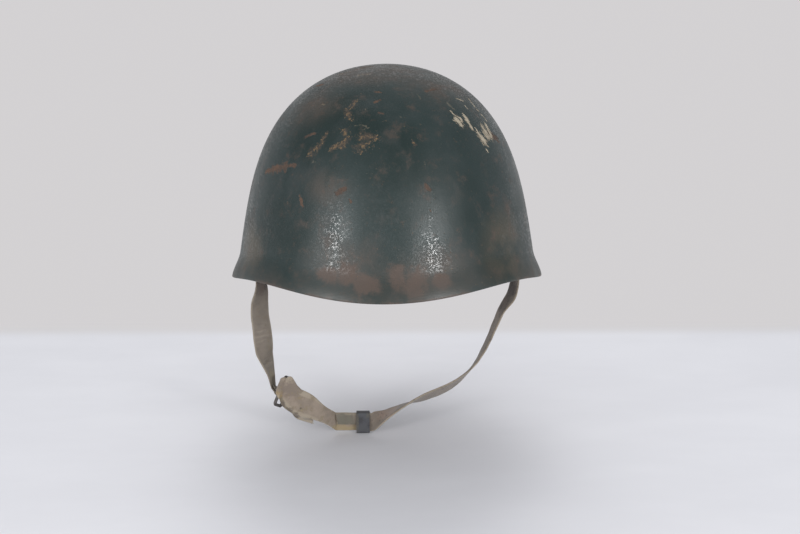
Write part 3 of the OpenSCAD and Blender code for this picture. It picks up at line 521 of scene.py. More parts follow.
# %% The whole paint
def shell_paint(name, wear=1.0, edged=True):
    """All layers, a rough sheen, and a coat that is polished only in specks."""
    f = Finish(name, IOR=1.48, Coat_Roughness=0.22, Coat_IOR=1.5)
    p = f.place()
    n = paint_noises(f, p)
    colour, brown, brow = filmed(f, p, n)
    if edged:
        outside, over_rim = f.run()
        dusty = f.step(over_rim + n.flow * 0.02, 0.030, 0.010) * f.step(n.cloud, 0.30, 0.60)
        colour = f.mix(dusty * 0.45, colour, BROWN_FILM)
    colour, rust = rusted(f, p, n, colour, brown, wear)
    colour, chip = chipped(f, p, n, colour, wear)
    colour, cream = flaked(f, p, n, colour, wear)
    colour, pit = speckled(f, p, n, colour, wear)
    gone = f.most(chip, cream, rust, pit)
    rough = f.step(n.flow + n.grain * 0.3, 0.45, 0.85, 0.40, 0.52)
    rough = rough + gone * 0.25 + brown * 0.06 + brow * 0.08
    polished = f.step(n.cloud + n.flow * 0.5, 0.58, 0.76) * 0.85
    coat = f.step(n.grain + n.fine * 0.5, 0.77, 0.88) * polished
    coat = coat * (1 - gone) * (1 - brow * 0.5)
    if edged:
        # The sheet's own edge has lost its paint here and there, and only the outside shines
        bare = f.step(over_rim + n.grain * 0.004, 0.0042, 0.0026) * f.step(n.cloud, 0.44, 0.60)
        colour = f.mix(bare * 0.6, colour, BROW_BROWN)
        coat = coat * outside * f.step(over_rim, 0.006, 0.020)
    bumps = [(gone, -0.00010, 0.7), (n.broad + n.cloud * 0.5, 0.0007, 0.25),
             (n.grain, 0.00014, 0.35), (n.fine, 0.00005, 0.30)]
    return f.finish(colour, rough, bumps, coat=coat)


paint = shell_paint("shell_paint")
print("Shell paint has", len(paint.node_tree.nodes), "nodes")

# %% [markdown]
# ## The shell
# The real shell is drawn from one disc of sheet steel. Its plan is an ellipse drawn in a
# little at four corners, the wall leans in as it rises and turns over into a round crown, and
# the lower edge flares out and waves up and down. A spun profile would be round in plan, and a
# sculpted one would have no even wall. One formula gives the radius at an azimuth and a height,
# so the whole thing is one grid: down the inner face, round the edge and up the outer face. A
# few shallow dents are added to both faces alike, because the sheet is thin.

# %% Shell formula
HALF_WIDTH, HALF_LENGTH, CROWN, WALL = 120.0, 139.0, 167.0, 1.2
LEAN, TURN, ROUND, DRAWN_IN = 27 / 120, 4.1, 2.13, 0.018
FLARE, FLARE_HEIGHT = 4.0, 20.0
RIM_TILT, RIM_ARCH, RIM_DIP, RIM_SCALLOP = 11.5, 3.2, 1.3, 3.0
RISE, SWING, POLE_GAP = 0.2, 0.004, 0.002


def ease(s):
    """The smooth step 3 s squared minus 2 s cubed."""
    return s * s * (3 - 2 * s)


def polar(r, f, z):
    """The point at a radius, an azimuth counted from the front, and a height."""
    return np.stack([r * np.sin(f), -r * np.cos(f), z + 0 * r], -1)


def rim_height(f):
    """A tilt, an arch, a dip of the brow and a scallop, each a cosine of the azimuth."""
    return (RIM_TILT * np.cos(f) + RIM_ARCH * (np.cos(2 * f) + 1) - RIM_DIP * np.cos(3 * f)
            + RIM_SCALLOP * (1 - np.cos(4 * f)))


def shell_radius(f, z):
    """Ellipse radius, times the lean, times a power curve that closes at the crown, plus flare."""
    rise = np.clip((z - rim_height(f)) / (CROWN - rim_height(f)), 0, 1)
    low = np.clip((z - rim_height(f)) / FLARE_HEIGHT, 0, 1)
    plan = 1 - DRAWN_IN * (1 - np.cos(4 * f)) / 2
    plan = plan / np.hypot(np.sin(f) / HALF_WIDTH, np.cos(f) / HALF_LENGTH)
    return plan * (1 - LEAN * rise) * (1 - rise**TURN) ** (1 / ROUND) + FLARE * (1 - ease(low))


def shell_point(f, z):
    """Point of the outer face, before its dents."""
    return polar(shell_radius(f, z), f, z)


def shell_frame(f, z):
    """Outward normal and upward tangent, from small steps round and up the surface."""
    lo, hi = np.maximum(z - RISE, rim_height(f)), np.minimum(z + RISE, CROWN - POLE_GAP)
    up = unit(shell_point(f, hi) - shell_point(f, lo))
    return unit(np.cross(shell_point(f + SWING, z) - shell_point(f - SWING, z), up)), up


rim = rim_height(np.linspace(0, 2 * np.pi, 361))
print(f"The rim waves between {rim.min():.1f} and {rim.max():.1f} mm")

# %% Shell grid
AROUND, FLARE_ROWS, DOME_ROWS, EDGE_ROWS = 320, 12, 64, 7
DENTS = [((60, -98, 70), 9, 0.5), ((-88, 40, 88), 12, 0.9), ((40, 70, 140), 11, 0.7),
         ((-30, -70, 148), 8, 0.4), ((10, 118, 66), 14, 0.8), ((98, 10, 60), 10, 0.5),
         ((-15, 30, 165), 13, 0.6)]


def dent_depth(points):
    """A round hollow for each dent, deep in the middle and fading like a bell curve."""
    return sum(depth * np.exp(-((points - np.array(c)) ** 2).sum(-1) / (2 * (size / 2) ** 2))
               for c, size, depth in DENTS)


def shell_grid():
    """Rows from the inner pole down, round the edge in half a circle, and up to the outer pole."""
    f = np.linspace(0, 2 * np.pi, AROUND, endpoint=False)[None, :]
    low = rim_height(f) + WALL / 2
    share = np.linspace(0, 1, FLARE_ROWS, endpoint=False)[:, None]
    start = np.arcsin(FLARE_HEIGHT / (CROWN - low))
    turn = start + (np.pi / 2 - start) * np.linspace(0, 1, DOME_ROWS)[:, None]
    z = np.vstack([low + FLARE_HEIGHT * share, low + (CROWN - low) * np.sin(turn)])[:-1]
    normal, up = shell_frame(f + 0 * z, z)
    outer = shell_point(f + 0 * z, z)
    outer = outer - normal * dent_depth(outer)[..., None]
    inner = outer - normal * WALL
    middle, across, down = outer[0] - normal[0] * WALL / 2, normal[0], -up[0]
    angle = np.linspace(np.pi, 0, EDGE_ROWS + 2)[1:-1, None, None]
    edge = middle + WALL / 2 * (np.cos(angle) * across + np.sin(angle) * down)
    return np.concatenate([inner[::-1], edge, outer])


rows = shell_grid()
print("Shell grid:", rows.shape[0], "rows of", rows.shape[1], "points")


# %% Shell piece
def shell_piece(rows):
    """The grid, closed by a fan of triangles round each pole, with two lengths for the paint."""
    count = len(rows)
    poles = np.array([[0, 0, CROWN - WALL], [0, 0, CROWN]])
    poles[:, 2] -= dent_depth(poles)
    points = np.vstack([rows.reshape(-1, 3), poles])
    k = np.arange(AROUND)
    k2 = (k + 1) % AROUND
    inner_pole, outer_pole = 0 * k + len(points) - 2, 0 * k + len(points) - 1
    last = (count - 1) * AROUND
    fans = np.vstack([np.stack([inner_pole, k2, k], -1),
                      np.stack([last + k, last + k2, outer_pole], -1)])
    faces = grid_quads(count, AROUND, ring=True).tolist() + fans.tolist()
    outside = np.append(np.repeat(np.arange(count) >= count // 2, AROUND), [0, 1])
    over_rim = points[:, 2] - rim_height(np.arctan2(points[:, 0], -points[:, 1]))
    run = np.stack([outside / MM, over_rim, 0 * over_rim], -1)
    return make_piece("helmet_shell", points, faces, paint, "helmet",
                      ["shell"], run)


shell = shell_piece(rows)

# %% [markdown]
# The three vent rivets are hollow, so the sheet has to be open inside them. A Boolean modifier
# takes three short cylinders out, along the liner band's own normals, and is applied at once.
# A cylinder is a tube of two rings, and the same tubes make the straps' threads later.

# %% Tubes and bores
SHARP = math.radians(38)
OFF_AXIS = vec(0.02, 0.01, 1)


def closed_skin(sections, ring=False):
    """Points and faces through sections of equal point counts; open ends get flat caps."""
    count, sides = sections.shape[:2]
    points = sections.reshape(-1, 3)
    quads = grid_quads(count + ring, sides, ring=True) % len(points)
    turned = outward(points - points.mean(0), quads)
    low, high = list(range(sides)), list(range((count - 1) * sides, count * sides))
    if ring:
        return points, turned.tolist()
    kept = np.array_equal(turned, quads)
    caps = [low[::-1], high] if kept else [low, high[::-1]]
    return points, turned.tolist() + caps


def tubes(paths, radii, sides, helper):
    """Round tubes round many paths at once: count x steps x 3 points, with radii to match.

    A point on a tube is its path plus radius times (cos a * u + sin a * v), where u and v are
    square to the path and come from one helper direction for each tube.
    """
    tangent = unit(np.gradient(paths, axis=1))
    u = unit(np.cross(tangent, helper[:, None]))
    v = np.cross(tangent, u)
    turn = np.linspace(0, 2 * np.pi, sides, endpoint=False)[:, None]
    ring = np.cos(turn) * u[:, :, None] + np.sin(turn) * v[:, :, None]
    points = paths[:, :, None] + radii[..., None, None] * ring
    one, faces = closed_skin(points[0])
    first = np.arange(len(paths)) * len(one)
    return points.reshape(-1, 3), [[c + k for c in face] for k in first for face in faces]


def applied(piece):
    """Replaces a piece's mesh with the result of its modifiers."""
    graph = bpy.context.evaluated_depsgraph_get()
    mesh = bpy.data.meshes.new_from_object(piece.evaluated_get(graph),
                                           preserve_all_data_layers=True, depsgraph=graph)
    piece.modifiers.clear()
    piece.data = mesh
    return mesh


def bore(piece, centres, directions, diameters, length, sides=32):
    """Takes closed cylinders out of a piece; each starts at a centre and runs along its way."""
    ends = centres[:, None] + vec(0, length)[:, None] * directions[:, None]
    radii = np.broadcast_to(diameters, len(centres))[:, None] / 2 * np.ones(2)
    skins = tubes(ends, radii, sides, np.tile(OFF_AXIS, (len(centres), 1)))
    drill = placed("drill", mesh_of("drill", *skins))
    hole = piece.modifiers.new("holes", "BOOLEAN")
    hole.operation, hole.object, hole.solver = "DIFFERENCE", drill, "MANIFOLD"
    before = len(piece.data.polygons)
    mesh = applied(piece)
    bpy.data.objects.remove(drill)
    mesh.set_sharp_from_angle(angle=SHARP)
    print(f"{piece.name}: {len(centres)} holes, {before} faces before, {len(mesh.polygons)} after")


print("Edges sharper than", round(math.degrees(SHARP)), "degrees stay sharp round a bore")

# %% Vent holes
BAND_W, BAND_L = 202.0, 240.0
BAND_Z, BAND_H = 42.0, 24.0
MID_Z = BAND_Z + BAND_H / 2
VENT_AZIMUTHS = np.radians([-112, 112, 180])
VENT_HOLE = 7.9
UP = vec(0, 0, 1)


def band_point(f):
    """Point on the outer face of the liner's outer band: an ellipse in plan."""
    return polar(1 / np.hypot(2 * np.sin(f) / BAND_W, 2 * np.cos(f) / BAND_L), f, 0)


def band_normal(f):
    """Outward and level: an ellipse's gradient, each coordinate over its diameter squared."""
    return unit(band_point(f) / vec(BAND_W**2, BAND_L**2, 1))


def hoop(f, depth, z):
    """Point at a depth inside the outer band, at a height z."""
    inward = np.asarray(depth)[..., None] * band_normal(f)
    return band_point(f) - inward + np.asarray(z)[..., None] * UP


def bore_hoop(piece, azimuths, z, diameters, start=14, length=20):
    """Bores holes across the liner's hoop, each along the hoop's own normal."""
    f = np.asarray(azimuths, float)
    bore(piece, hoop(f, start, z), band_normal(f), diameters, length)


bore_hoop(shell, VENT_AZIMUTHS, MID_Z, VENT_HOLE, start=0, length=30)

# %% [markdown]
# ## Steel finishes
# Most of the small steel parts are the CAD's own solids, and they only need a skin: dull metal
# with clouds, fine scratches along one way, and brown rust that gathers in patches. Six
# materials by hand would drift apart, so one function makes them all, and each finish gets its
# own tone and share of rust.


# %% Steel
RUST_FILM = (0.085, 0.055, 0.035)


def steel_finish(name, tone, dark, rough, rust=0.3, metal=0.9, worn=None, scratch=(1, 1, 7)):
    """Dull metal under a thin rust film and rust spots, with edges that may be painted lighter,
    for worn metal and a painted highlight.
    """
    f = Finish(name, IOR=1.5)
    p = f.place()
    cloud = f.noise(p, 130, 4, 0.6)
    grain = f.noise(p, 1500, 5, 0.65)
    lines = f.noise(f.scaled(p, scratch), 1100, 3, 0.6)
    colour = f.mix(f.step(cloud + grain * 0.2, 0.45, 0.75), tone, dark)
    rusty = f.step(f.noise(p, 260, 7, 0.72) + cloud * 0.5, 1.02 - 0.25 * rust, 1.10 - 0.25 * rust)
    film = f.step(cloud, 0.40, 0.75) * rust
    colour = f.mix(film * 0.5, colour, RUST_FILM)
    colour = f.mix(rusty * 0.8, colour, f.mix(f.step(grain, 0.4, 0.6), RUST, DARK_RUST))
    if worn is not None:
        place, tint = worn
        # Lighter at the given places: worn metal, and a painted highlight
        bright = f.patches(p, place, 0.7) * f.step(grain + cloud * 0.5, 0.55, 0.85)
        colour = f.mix(bright * 0.8, colour, tint)
    metallic = (1 - rusty * 0.85) * metal
    roughness = f.step(lines + cloud * 0.4, 0.4, 0.95, rough - 0.08, rough + 0.10)
    roughness = roughness + rusty * 0.25
    return f.finish(colour, roughness, [(rusty, 0.00006, 0.5), (lines, 0.00003, 0.25),
                                        (grain, 0.00003, 0.35)], metal=metallic)


def dress(finish, *names):
    """Gives CAD nodes a finish, in every slot of their meshes."""
    for name in names:
        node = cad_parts[name]
        for place in node.material_slots:
            place.material = finish
        if not node.material_slots:
            node.data.materials.append(finish)
    print(finish.name, "on", len(names), "nodes")


print("Rust goes from", RUST, "to", DARK_RUST)

# %% Steel parts of the CAD model
SIDES = ("left", "right", "rear")
FIXING = steel_finish("fixing_steel", (0.33, 0.32, 0.30), (0.20, 0.19, 0.175), 0.46, 0.35)
SPRING = steel_finish("spring_steel", (0.19, 0.195, 0.205), (0.10, 0.10, 0.11), 0.38, 0.30)
HANGER = steel_finish("hanger_steel", (0.21, 0.21, 0.195), (0.12, 0.115, 0.105), 0.50, 0.55, 0.8)
WIRE = steel_finish("wire_steel", (0.15, 0.14, 0.135), (0.085, 0.075, 0.07), 0.45, 0.60, 0.8)
# The keeper's top corner and left edge are painted lighter: worn metal, and a painted highlight
# where light falls on them
WORN_AND_LIT_EDGES = [((-17, -3, -122), (3, 4, 4)), ((-25.5, -2, -129), (1.5, 4, 12))]
KEEPER = steel_finish("keeper_steel", (0.115, 0.118, 0.127), (0.078, 0.078, 0.086), 0.48, 0.22,
                      0.55, worn=(WORN_AND_LIT_EDGES, (0.17, 0.15, 0.11)), scratch=(7, 1, 1))
BAND = steel_finish("band_paint", (0.075, 0.085, 0.072), (0.045, 0.052, 0.046), 0.52, 0.45, 0.25)
dress(shell_paint("vent_paint", 0.0, edged=False), *(f"vent_rivet_{side}" for side in SIDES))
dress(FIXING, "spring_rivets", "leather_rivets", "strap_rivet_left", "strap_rivet_right",
      *(f"spacer_{side}" for side in SIDES), *(f"rivet_washer_{side}" for side in SIDES))
dress(HANGER, "strap_hanger_left", "strap_hanger_right")
dress(WIRE, "side_ring_left", "side_ring_right", "buckle_ring")
dress(KEEPER, "keeper")

# %% [markdown]
# ## Liner bands and springs
# Two hoops of strip steel hold the liner: the outer one on the vent rivets, the inner one on
# six bowed leaf springs. A hoop is a rounded strip section carried round the ellipse, and a
# spring is the same kind of section on a line that moves in from the outer hoop to the inner
# one by a smooth step. Bending a straight strip with a modifier would need a curve for each,
# while the hoop's formula is there already. The rivet holes are bored as the vent holes are.

# %% Bands
BAND_T, BAND_GAP, SEAT_GAP, STRIP_ROUND = 0.9, 8.0, 0.3, 0.3
PIN_HOLE, STRAP_RIVET_HOLE = 2.8, 4.1
INNER_DEPTH = BAND_T + BAND_GAP
SPRING_AZIMUTHS = np.radians([-134, -66, -30, 30, 66, 134])
SPRING_L, FOOT_PIN = 38.0, 3.5
FOOT_S = SPRING_L / 2 - FOOT_PIN
LEATHER_PINS, LEATHER_PIN_Z = 24, BAND_Z + 2.6
PIN_AZIMUTHS = (np.arange(LEATHER_PINS) + 0.5) * 2 * np.pi / LEATHER_PINS


def rounded_section(width, height, radius, steps=4):
    """Rectangle with a quarter circle round each of four corner centres, anticlockwise."""
    turn = np.linspace(0, np.pi / 2, steps)
    parts = []
    for k, (x, y) in enumerate([(1, 1), (-1, 1), (-1, -1), (1, -1)]):
        angle = turn + k * np.pi / 2
        parts.append(np.stack([x * (width / 2 - radius) + radius * np.cos(angle),
                               y * (height / 2 - radius) + radius * np.sin(angle)], -1))
    return np.concatenate(parts)


def hoop_azimuth(f, s):
    """The azimuth that lies a length s farther along the hoop."""
    degree = np.radians(1)
    gap = np.linalg.norm(band_point(f + degree / 2) - band_point(f - degree / 2), axis=-1)
    return f + s / gap * degree


BAND_STEPS = 288


def band_piece(name, node, depth):
    """A rounded strip section carried round the hoop at a depth."""
    f = np.linspace(0, 2 * np.pi, BAND_STEPS, endpoint=False)[:, None]
    section = rounded_section(BAND_T, BAND_H, STRIP_ROUND)
    f, across, height = np.broadcast_arrays(f, depth + BAND_T / 2 + section[:, 0],
                                            MID_Z + section[:, 1])
    points, faces = closed_skin(hoop(f, across, height), ring=True)
    return make_piece(name, points, faces, BAND, "helmet", [node])


FEET = np.array([hoop_azimuth(f, s) for f in SPRING_AZIMUTHS for s in (-FOOT_S, FOOT_S)])
outer_strip = band_piece("liner_band_outer", "outer_band", 0)
bore_hoop(outer_strip, [*FEET, *VENT_AZIMUTHS, -np.pi / 2, np.pi / 2], MID_Z,
          [PIN_HOLE] * len(FEET) + [VENT_HOLE] * 3 + [STRAP_RIVET_HOLE] * 2)
inner_strip = band_piece("liner_band_inner", "inner_band", INNER_DEPTH)
bore_hoop(inner_strip, [*SPRING_AZIMUTHS, *PIN_AZIMUTHS],
          [MID_Z] * len(SPRING_AZIMUTHS) + [LEATHER_PIN_Z] * LEATHER_PINS, PIN_HOLE)

# %% Springs
SPRING_H, SPRING_T, CREST_L, FOOT_L = 14.0, 0.8, 12.0, 7.5
SPRING_STEPS = 72
SPRING_OUT = BAND_T + SEAT_GAP + SPRING_T / 2
SPRING_IN = INNER_DEPTH - SEAT_GAP - SPRING_T / 2


def spring_depth(s):
    """Outer depth at the feet, inner depth at the crest, a smooth step between."""
    reach = SPRING_L / 2 - FOOT_L
    u = np.clip((reach - np.abs(s)) / (reach - CREST_L / 2), 0, 1)
    return SPRING_OUT + (SPRING_IN - SPRING_OUT) * ease(u)


def spring_piece(name, node, azimuth):
    """The strip section carried along the bow, bored at its feet and its crest."""
    s = np.linspace(-SPRING_L / 2, SPRING_L / 2, SPRING_STEPS)[:, None]
    section = rounded_section(SPRING_T, SPRING_H, STRIP_ROUND)
    f, across, height = np.broadcast_arrays(
        hoop_azimuth(azimuth, s), spring_depth(s) + section[:, 0], MID_Z + section[:, 1])
    points, faces = closed_skin(hoop(f, across, height))
    piece = make_piece(name, points, faces, SPRING, "helmet", [node])
    bore_hoop(piece, hoop_azimuth(azimuth, vec(-FOOT_S, 0, FOOT_S)), MID_Z, PIN_HOLE)


for k, azimuth in enumerate(SPRING_AZIMUTHS, 1):
    spring_piece(f"leaf_spring_{k}", f"band_spring_{k}", azimuth)

# %% [markdown]
# ## Leather liner
# The leather is one strip riveted inside the inner band. Its upper part is cut into eight
# tongues that lean in over the head, and a lace through their tips sets how deep the helmet
# sits. Stiff old leather keeps its shape, so no cloth is simulated. The middle surface is one
# grid per tongue: below the top of the band it follows the hoop, above it the tongue narrows
# and bows inward on most of a quarter turn. Thickness comes from a Solidify modifier and soft
# edges from one subdivision; the holes are bored last.

# %% One tongue of the leather
TONGUES, BASE_HALF = 8, math.radians(20.5)
LEATHER_T, CROWN_RISE, TIP_R, TIP_W = 1.6, 62.0, 24.0, 17.0
LEATHER_DEPTH = INNER_DEPTH + BAND_T + SEAT_GAP
RING_LO, TOP_Z = BAND_Z - 4.0, BAND_Z + BAND_H
TIP_TURN = math.radians(77)
TAPER, TIP_FROM, TIP_ROUND, BOW = 1.15, 0.88, 0.125, 0.9
HOLE_S, HOLE_D = 0.86, 5.2


def blend(a, b, share):
    """a where the share is 0, b where it is 1."""
    return a + (b - a) * share


def leather_base(f, depth):
    """Point of the leather's middle surface on the hoop, at a depth inside it."""
    return hoop(f, LEATHER_DEPTH + depth, 0)


def plan_length(points):
    """Distance from the upright axis: the root of x squared plus y squared."""
    return np.hypot(points[..., 0], points[..., 1])


def tongue_half_width(f, s):
    """Half the tongue's width: it narrows by a power of the way to its tip, then rounds off."""
    base = leather_base(f + BASE_HALF, 0) - leather_base(f - BASE_HALF, 0)
    body = blend(TIP_W / 2, np.linalg.norm(base, axis=-1) / 2, (1 - s) ** TAPER)
    return body * np.sqrt(1 - (np.maximum(s - TIP_FROM, 0) / TIP_ROUND) ** 2)


def tongue_point(middle, c, s, depth):
    """Point at a share c of the half width and a share s of the length of a tongue.

    The radius goes from the hoop's to the tip's with a power of the cosine of the turn, and
    the height goes with its sine.
    """
    middle, c, s, depth = np.broadcast_arrays(middle, c, s, depth)
    bend, end = np.cos(TIP_TURN * s) ** BOW, math.cos(TIP_TURN) ** BOW
    share = (bend - end) / (1 - end)
    across = blend(TIP_R, plan_length(leather_base(middle, 0)), share)
    f = middle + c * np.minimum(BASE_HALF, tongue_half_width(middle, s) / across)
    base = leather_base(f, depth * np.cos(TIP_TURN * s))
    r = blend(TIP_R, plan_length(base), share)
    z = TOP_Z + (CROWN_RISE - depth) * np.sin(TIP_TURN * s) / math.sin(TIP_TURN)
    return np.stack([r, r, z], -1) * np.where([1, 1, 0], base / plan_length(base)[..., None], 1)


tip = tongue_point(0.0, 0, 1, LEATHER_T / 2)
print("Front tongue's tip in mm:", tip.round(1).tolist())

# %% The leather as one grid
TONGUE_COLS, RING_ROWS, TONGUE_ROWS = 15, 9, 52
FAR_FROM_EDGE = 30.0


def curled(tongue, middle, c, s):
    """The tongues' sides curl out a little, and hands have left soft waves in them.

    The curl is a square of the share across plus a product of two waves; it is calm round the
    lace hole and at the foot, and it moves points away from a middle below the tongue's foot.
    """
    near_hole = np.clip(np.abs(s - HOLE_S) / 0.08 + np.abs(c) * 1.2 - 0.4, 0, 1)
    curl = 0.9 * c**2 + 0.45 * np.sin(5 * s + 2.1 * c + 1.7 * middle) * np.cos(3 * c - middle)
    calm = near_hole * ease(np.clip(s * 4, 0, 1))
    out = np.stack([tongue[..., 0], tongue[..., 1], tongue[..., 2] - TOP_Z + 20], -1)
    return tongue + (curl * calm)[..., None] * unit(out)


def leather_grid():
    """Tongue by tongue: rows up the ring and then up the tongue, with the wear lengths."""
    middle = (np.arange(TONGUES) * 2 * np.pi / TONGUES)[:, None, None]
    c = np.linspace(-1, 1, TONGUE_COLS)[None, None, :]
    s = np.linspace(0, 1, TONGUE_ROWS)[None, :, None]
    middle, c, s = np.broadcast_arrays(middle, c, s)
    tongue = curled(tongue_point(middle, c, s, LEATHER_T / 2), middle, c, s)
    z = np.linspace(RING_LO, TOP_Z, RING_ROWS, endpoint=False)[None, :, None]
    ring = leather_base((middle + c * BASE_HALF)[:, :1], LEATHER_T / 2) + z[..., None] * UP
    grid = np.concatenate([ring, tongue], 1)
    from_side = np.concatenate([FAR_FROM_EDGE + 0 * z * c[:, :1],
                                tongue_half_width(middle, s) * (1 - np.abs(c))], 1)
    return grid, np.stack([from_side, grid[..., 2] - RING_LO, 0 * from_side], -1)


def leather_piece(finish):
    """The grid with its tongues joined round the ring, thickened and then subdivided once."""
    grid, run = leather_grid()
    rows, size = grid.shape[1], grid.shape[1] * TONGUE_COLS
    quads = [grid_quads(rows, TONGUE_COLS, first=k * size) for k in range(TONGUES)]
    # The ring's rows also join the last column of a tongue to the first of the next
    row = np.arange(RING_ROWS)
    for k in range(TONGUES):
        a = k * size + row * TONGUE_COLS + TONGUE_COLS - 1
        b = (k + 1) % TONGUES * size + row * TONGUE_COLS
        quads.append(np.stack([a, b, b + TONGUE_COLS, a + TONGUE_COLS], -1))
    piece = make_piece("liner_leather", grid.reshape(-1, 3), np.concatenate(quads).tolist(),
                       finish, "helmet", ["leather_liner"], run.reshape(-1, 3))
    wall = piece.modifiers.new("thickness", "SOLIDIFY")
    wall.thickness, wall.offset = LEATHER_T * MM, 0
    soft = piece.modifiers.new("soft_edges", "SUBSURF")
    soft.levels = soft.render_levels = 1
    applied(piece)
    return piece


print("Leather grid for each tongue:", RING_ROWS + TONGUE_ROWS, "rows of", TONGUE_COLS)

# %% [markdown]
# Old liner leather is dark where sweat and hair grease soak in, along the band and at the cut
# edges, and it stays lighter and drier on the tongues. Pebbled grain comes from a Voronoi
# pattern and creases from the thin lines where a noise crosses a half; the creases are also
# painted darker, as shade in their grooves. The lengths kept on the points say how far a place
# is from the cut edge and from the foot of the band.

# %% Leather finish
TAN_LEATHER, DARK_LEATHER = (0.225, 0.118, 0.058), (0.120, 0.058, 0.028)
DRY_LEATHER, SWEAT = (0.30, 0.17, 0.09), (0.045, 0.024, 0.014)
CUT_EDGE, CREASE_SHADE = (0.060, 0.032, 0.018), (0.070, 0.036, 0.020)
PEBBLES = 1050.0


def leather_finish():
    """Brown leather: pebbled grain, creases, dark sweat along the band and at the cut edges."""
    f = Finish("liner_leather", IOR=1.48)
    p = f.place()
    from_side, height = f.run()
    cloud = f.noise(p, 38, 5, 0.6)
    grain = f.noise(p, 900, 4, 0.6)
    pebbles = f.node("TexVoronoi", {"feature": "SMOOTH_F1"}, "Distance", Vector=p, Scale=PEBBLES)
    off_line = f.math("ABSOLUTE", f.noise(f.scaled(p, (1, 1, 2.2)), 95, 6, 0.6) - 0.5)
    crease = f.step(off_line, 0.0, 0.022, 1, 0) * f.step(cloud, 0.45, 0.65)
    sweat = f.step(height + cloud * 0.02, 0.034, 0.012)
    edge = f.step(from_side + grain * 0.0012, 0.0026, 0.0009)
    colour = f.mix(f.step(cloud, 0.32, 0.70), TAN_LEATHER, DARK_LEATHER)
    colour = f.mix(f.step(grain, 0.35, 0.65) * 0.3, colour, DRY_LEATHER)
    colour = f.mix(sweat * 0.7, colour, SWEAT)
    colour = f.mix(edge * 0.7, colour, CUT_EDGE)
    # Painted shade: the crease lines are darker as well as sunk by their bump
    colour = f.mix(crease * 0.6, colour, CREASE_SHADE)
    rough = f.step(cloud + grain * 0.3, 0.4, 0.9, 0.42, 0.66) - sweat * 0.1
    return f.finish(colour, rough, [(pebbles, 0.00018, 0.5), (crease, -0.00020, 0.6),
                                    (grain, 0.00006, 0.5)])


leather = leather_piece(leather_finish())

# %% Holes in the leather
HALF_STEP, LACE_BORE = 0.03, 12


def lace_hole(k):
    """Middle of the hole in the tip of tongue k, which may lie between two tongues."""
    return tongue_point(k * 2 * np.pi / TONGUES, 0, HOLE_S, LEATHER_T / 2)


def lace_hole_normal(k):
    """Square to the tongue: its sideways direction crossed with a small step along it."""
    f = k * 2 * np.pi / TONGUES
    step = tongue_point(f, 0, HOLE_S + HALF_STEP, 0) - tongue_point(f, 0, HOLE_S - HALF_STEP, 0)
    return unit(np.cross(np.stack([np.cos(f), np.sin(f), 0 * f], -1), step))


holes = np.arange(TONGUES)
bore(leather, lace_hole(holes) - LACE_BORE / 2 * lace_hole_normal(holes),
     lace_hole_normal(holes), HOLE_D, LACE_BORE)
bore_hoop(leather, PIN_AZIMUTHS, LEATHER_PIN_Z, PIN_HOLE)

# %% [markdown]
# ## Lace
# The lace is a cotton cord of three twisted strands. A plain tube with a striped bump would
# look round at its outline, so the strands are real. The path weaves out of one tongue and
# into the next, through the same points as the solid. A strand is a round tube whose middle
# runs on a helix round that path, and the number of turns is whole, so each strand closes.

# %% Lace path
LACE_D = 2.2
LACE_AMP = LEATHER_T / 2 + LACE_D / 2 + 3 * SEAT_GAP
LACE_STOPS = vec(0, 0.02, 0.045, 0.09, 0.25, 0.5, 0.75, 0.91, 0.955, 0.98)
LACE_STEP, CURVE_STEPS, LIFT = 0.45, 8, 16


def smooth_rows(rows, steps):
    """Catmull-Rom curve: a cubic in each span whose slopes come from the neighbouring rows."""
    rows = np.asarray(rows, float)
    wide = np.vstack([2 * rows[0] - rows[1], rows, 2 * rows[-1] - rows[-2]])
    u = (np.arange(steps) / steps)[None, :, None]
    a, b, c, d = (wide[k:len(wide) - 3 + k][:, None] for k in range(4))
    curve = 0.5 * (2 * b + (c - a) * u + (2 * a - 5 * b + 4 * c - d) * u**2
                   + (3 * b - a - 3 * c + d) * u**3)
    return np.vstack([curve.reshape(-1, rows.shape[1]), rows[-1:]])


def lace_path():
    """Closed smooth curve through the stops between each two holes, at even steps."""
    k = np.arange(TONGUES)[:, None] + 0 * LACE_STOPS
    s = 0 * k + LACE_STOPS
    here, there = lace_hole(k), lace_hole((k + 1) % TONGUES)
    lift = np.where(k % 2 == 0, 1, -1) * LACE_AMP * np.clip(LIFT * np.minimum(s, 1 - s), 0, 1)
    r = blend(plan_length(here), plan_length(there), ease(s))
    stops = polar(r, (k + s) * 2 * np.pi / TONGUES, blend(here[..., 2], there[..., 2], s))
    stops = (stops + lift[..., None] * lace_hole_normal(k + s)).reshape(-1, 3)
    lap = smooth_rows(np.vstack([stops[-2:], stops, stops[:3]]), CURVE_STEPS)
    lap = lap[2 * CURVE_STEPS:-2 * CURVE_STEPS]
    length = np.append(0, np.cumsum(np.linalg.norm(np.diff(lap, axis=0), axis=1)))
    even = np.linspace(0, length[-1], int(length[-1] / LACE_STEP), endpoint=False)
    return np.stack([np.interp(even, length, lap[:, k]) for k in range(3)], -1), length[-1]


lace_points, lace_length = lace_path()
print(f"Lace: {lace_length:.0f} mm round")

# %% Lace strands
STRANDS, STRAND_SIDES, STRAND_R, STRAND_OFF, TWIST = 3, 8, 0.60, 0.52, 6.5


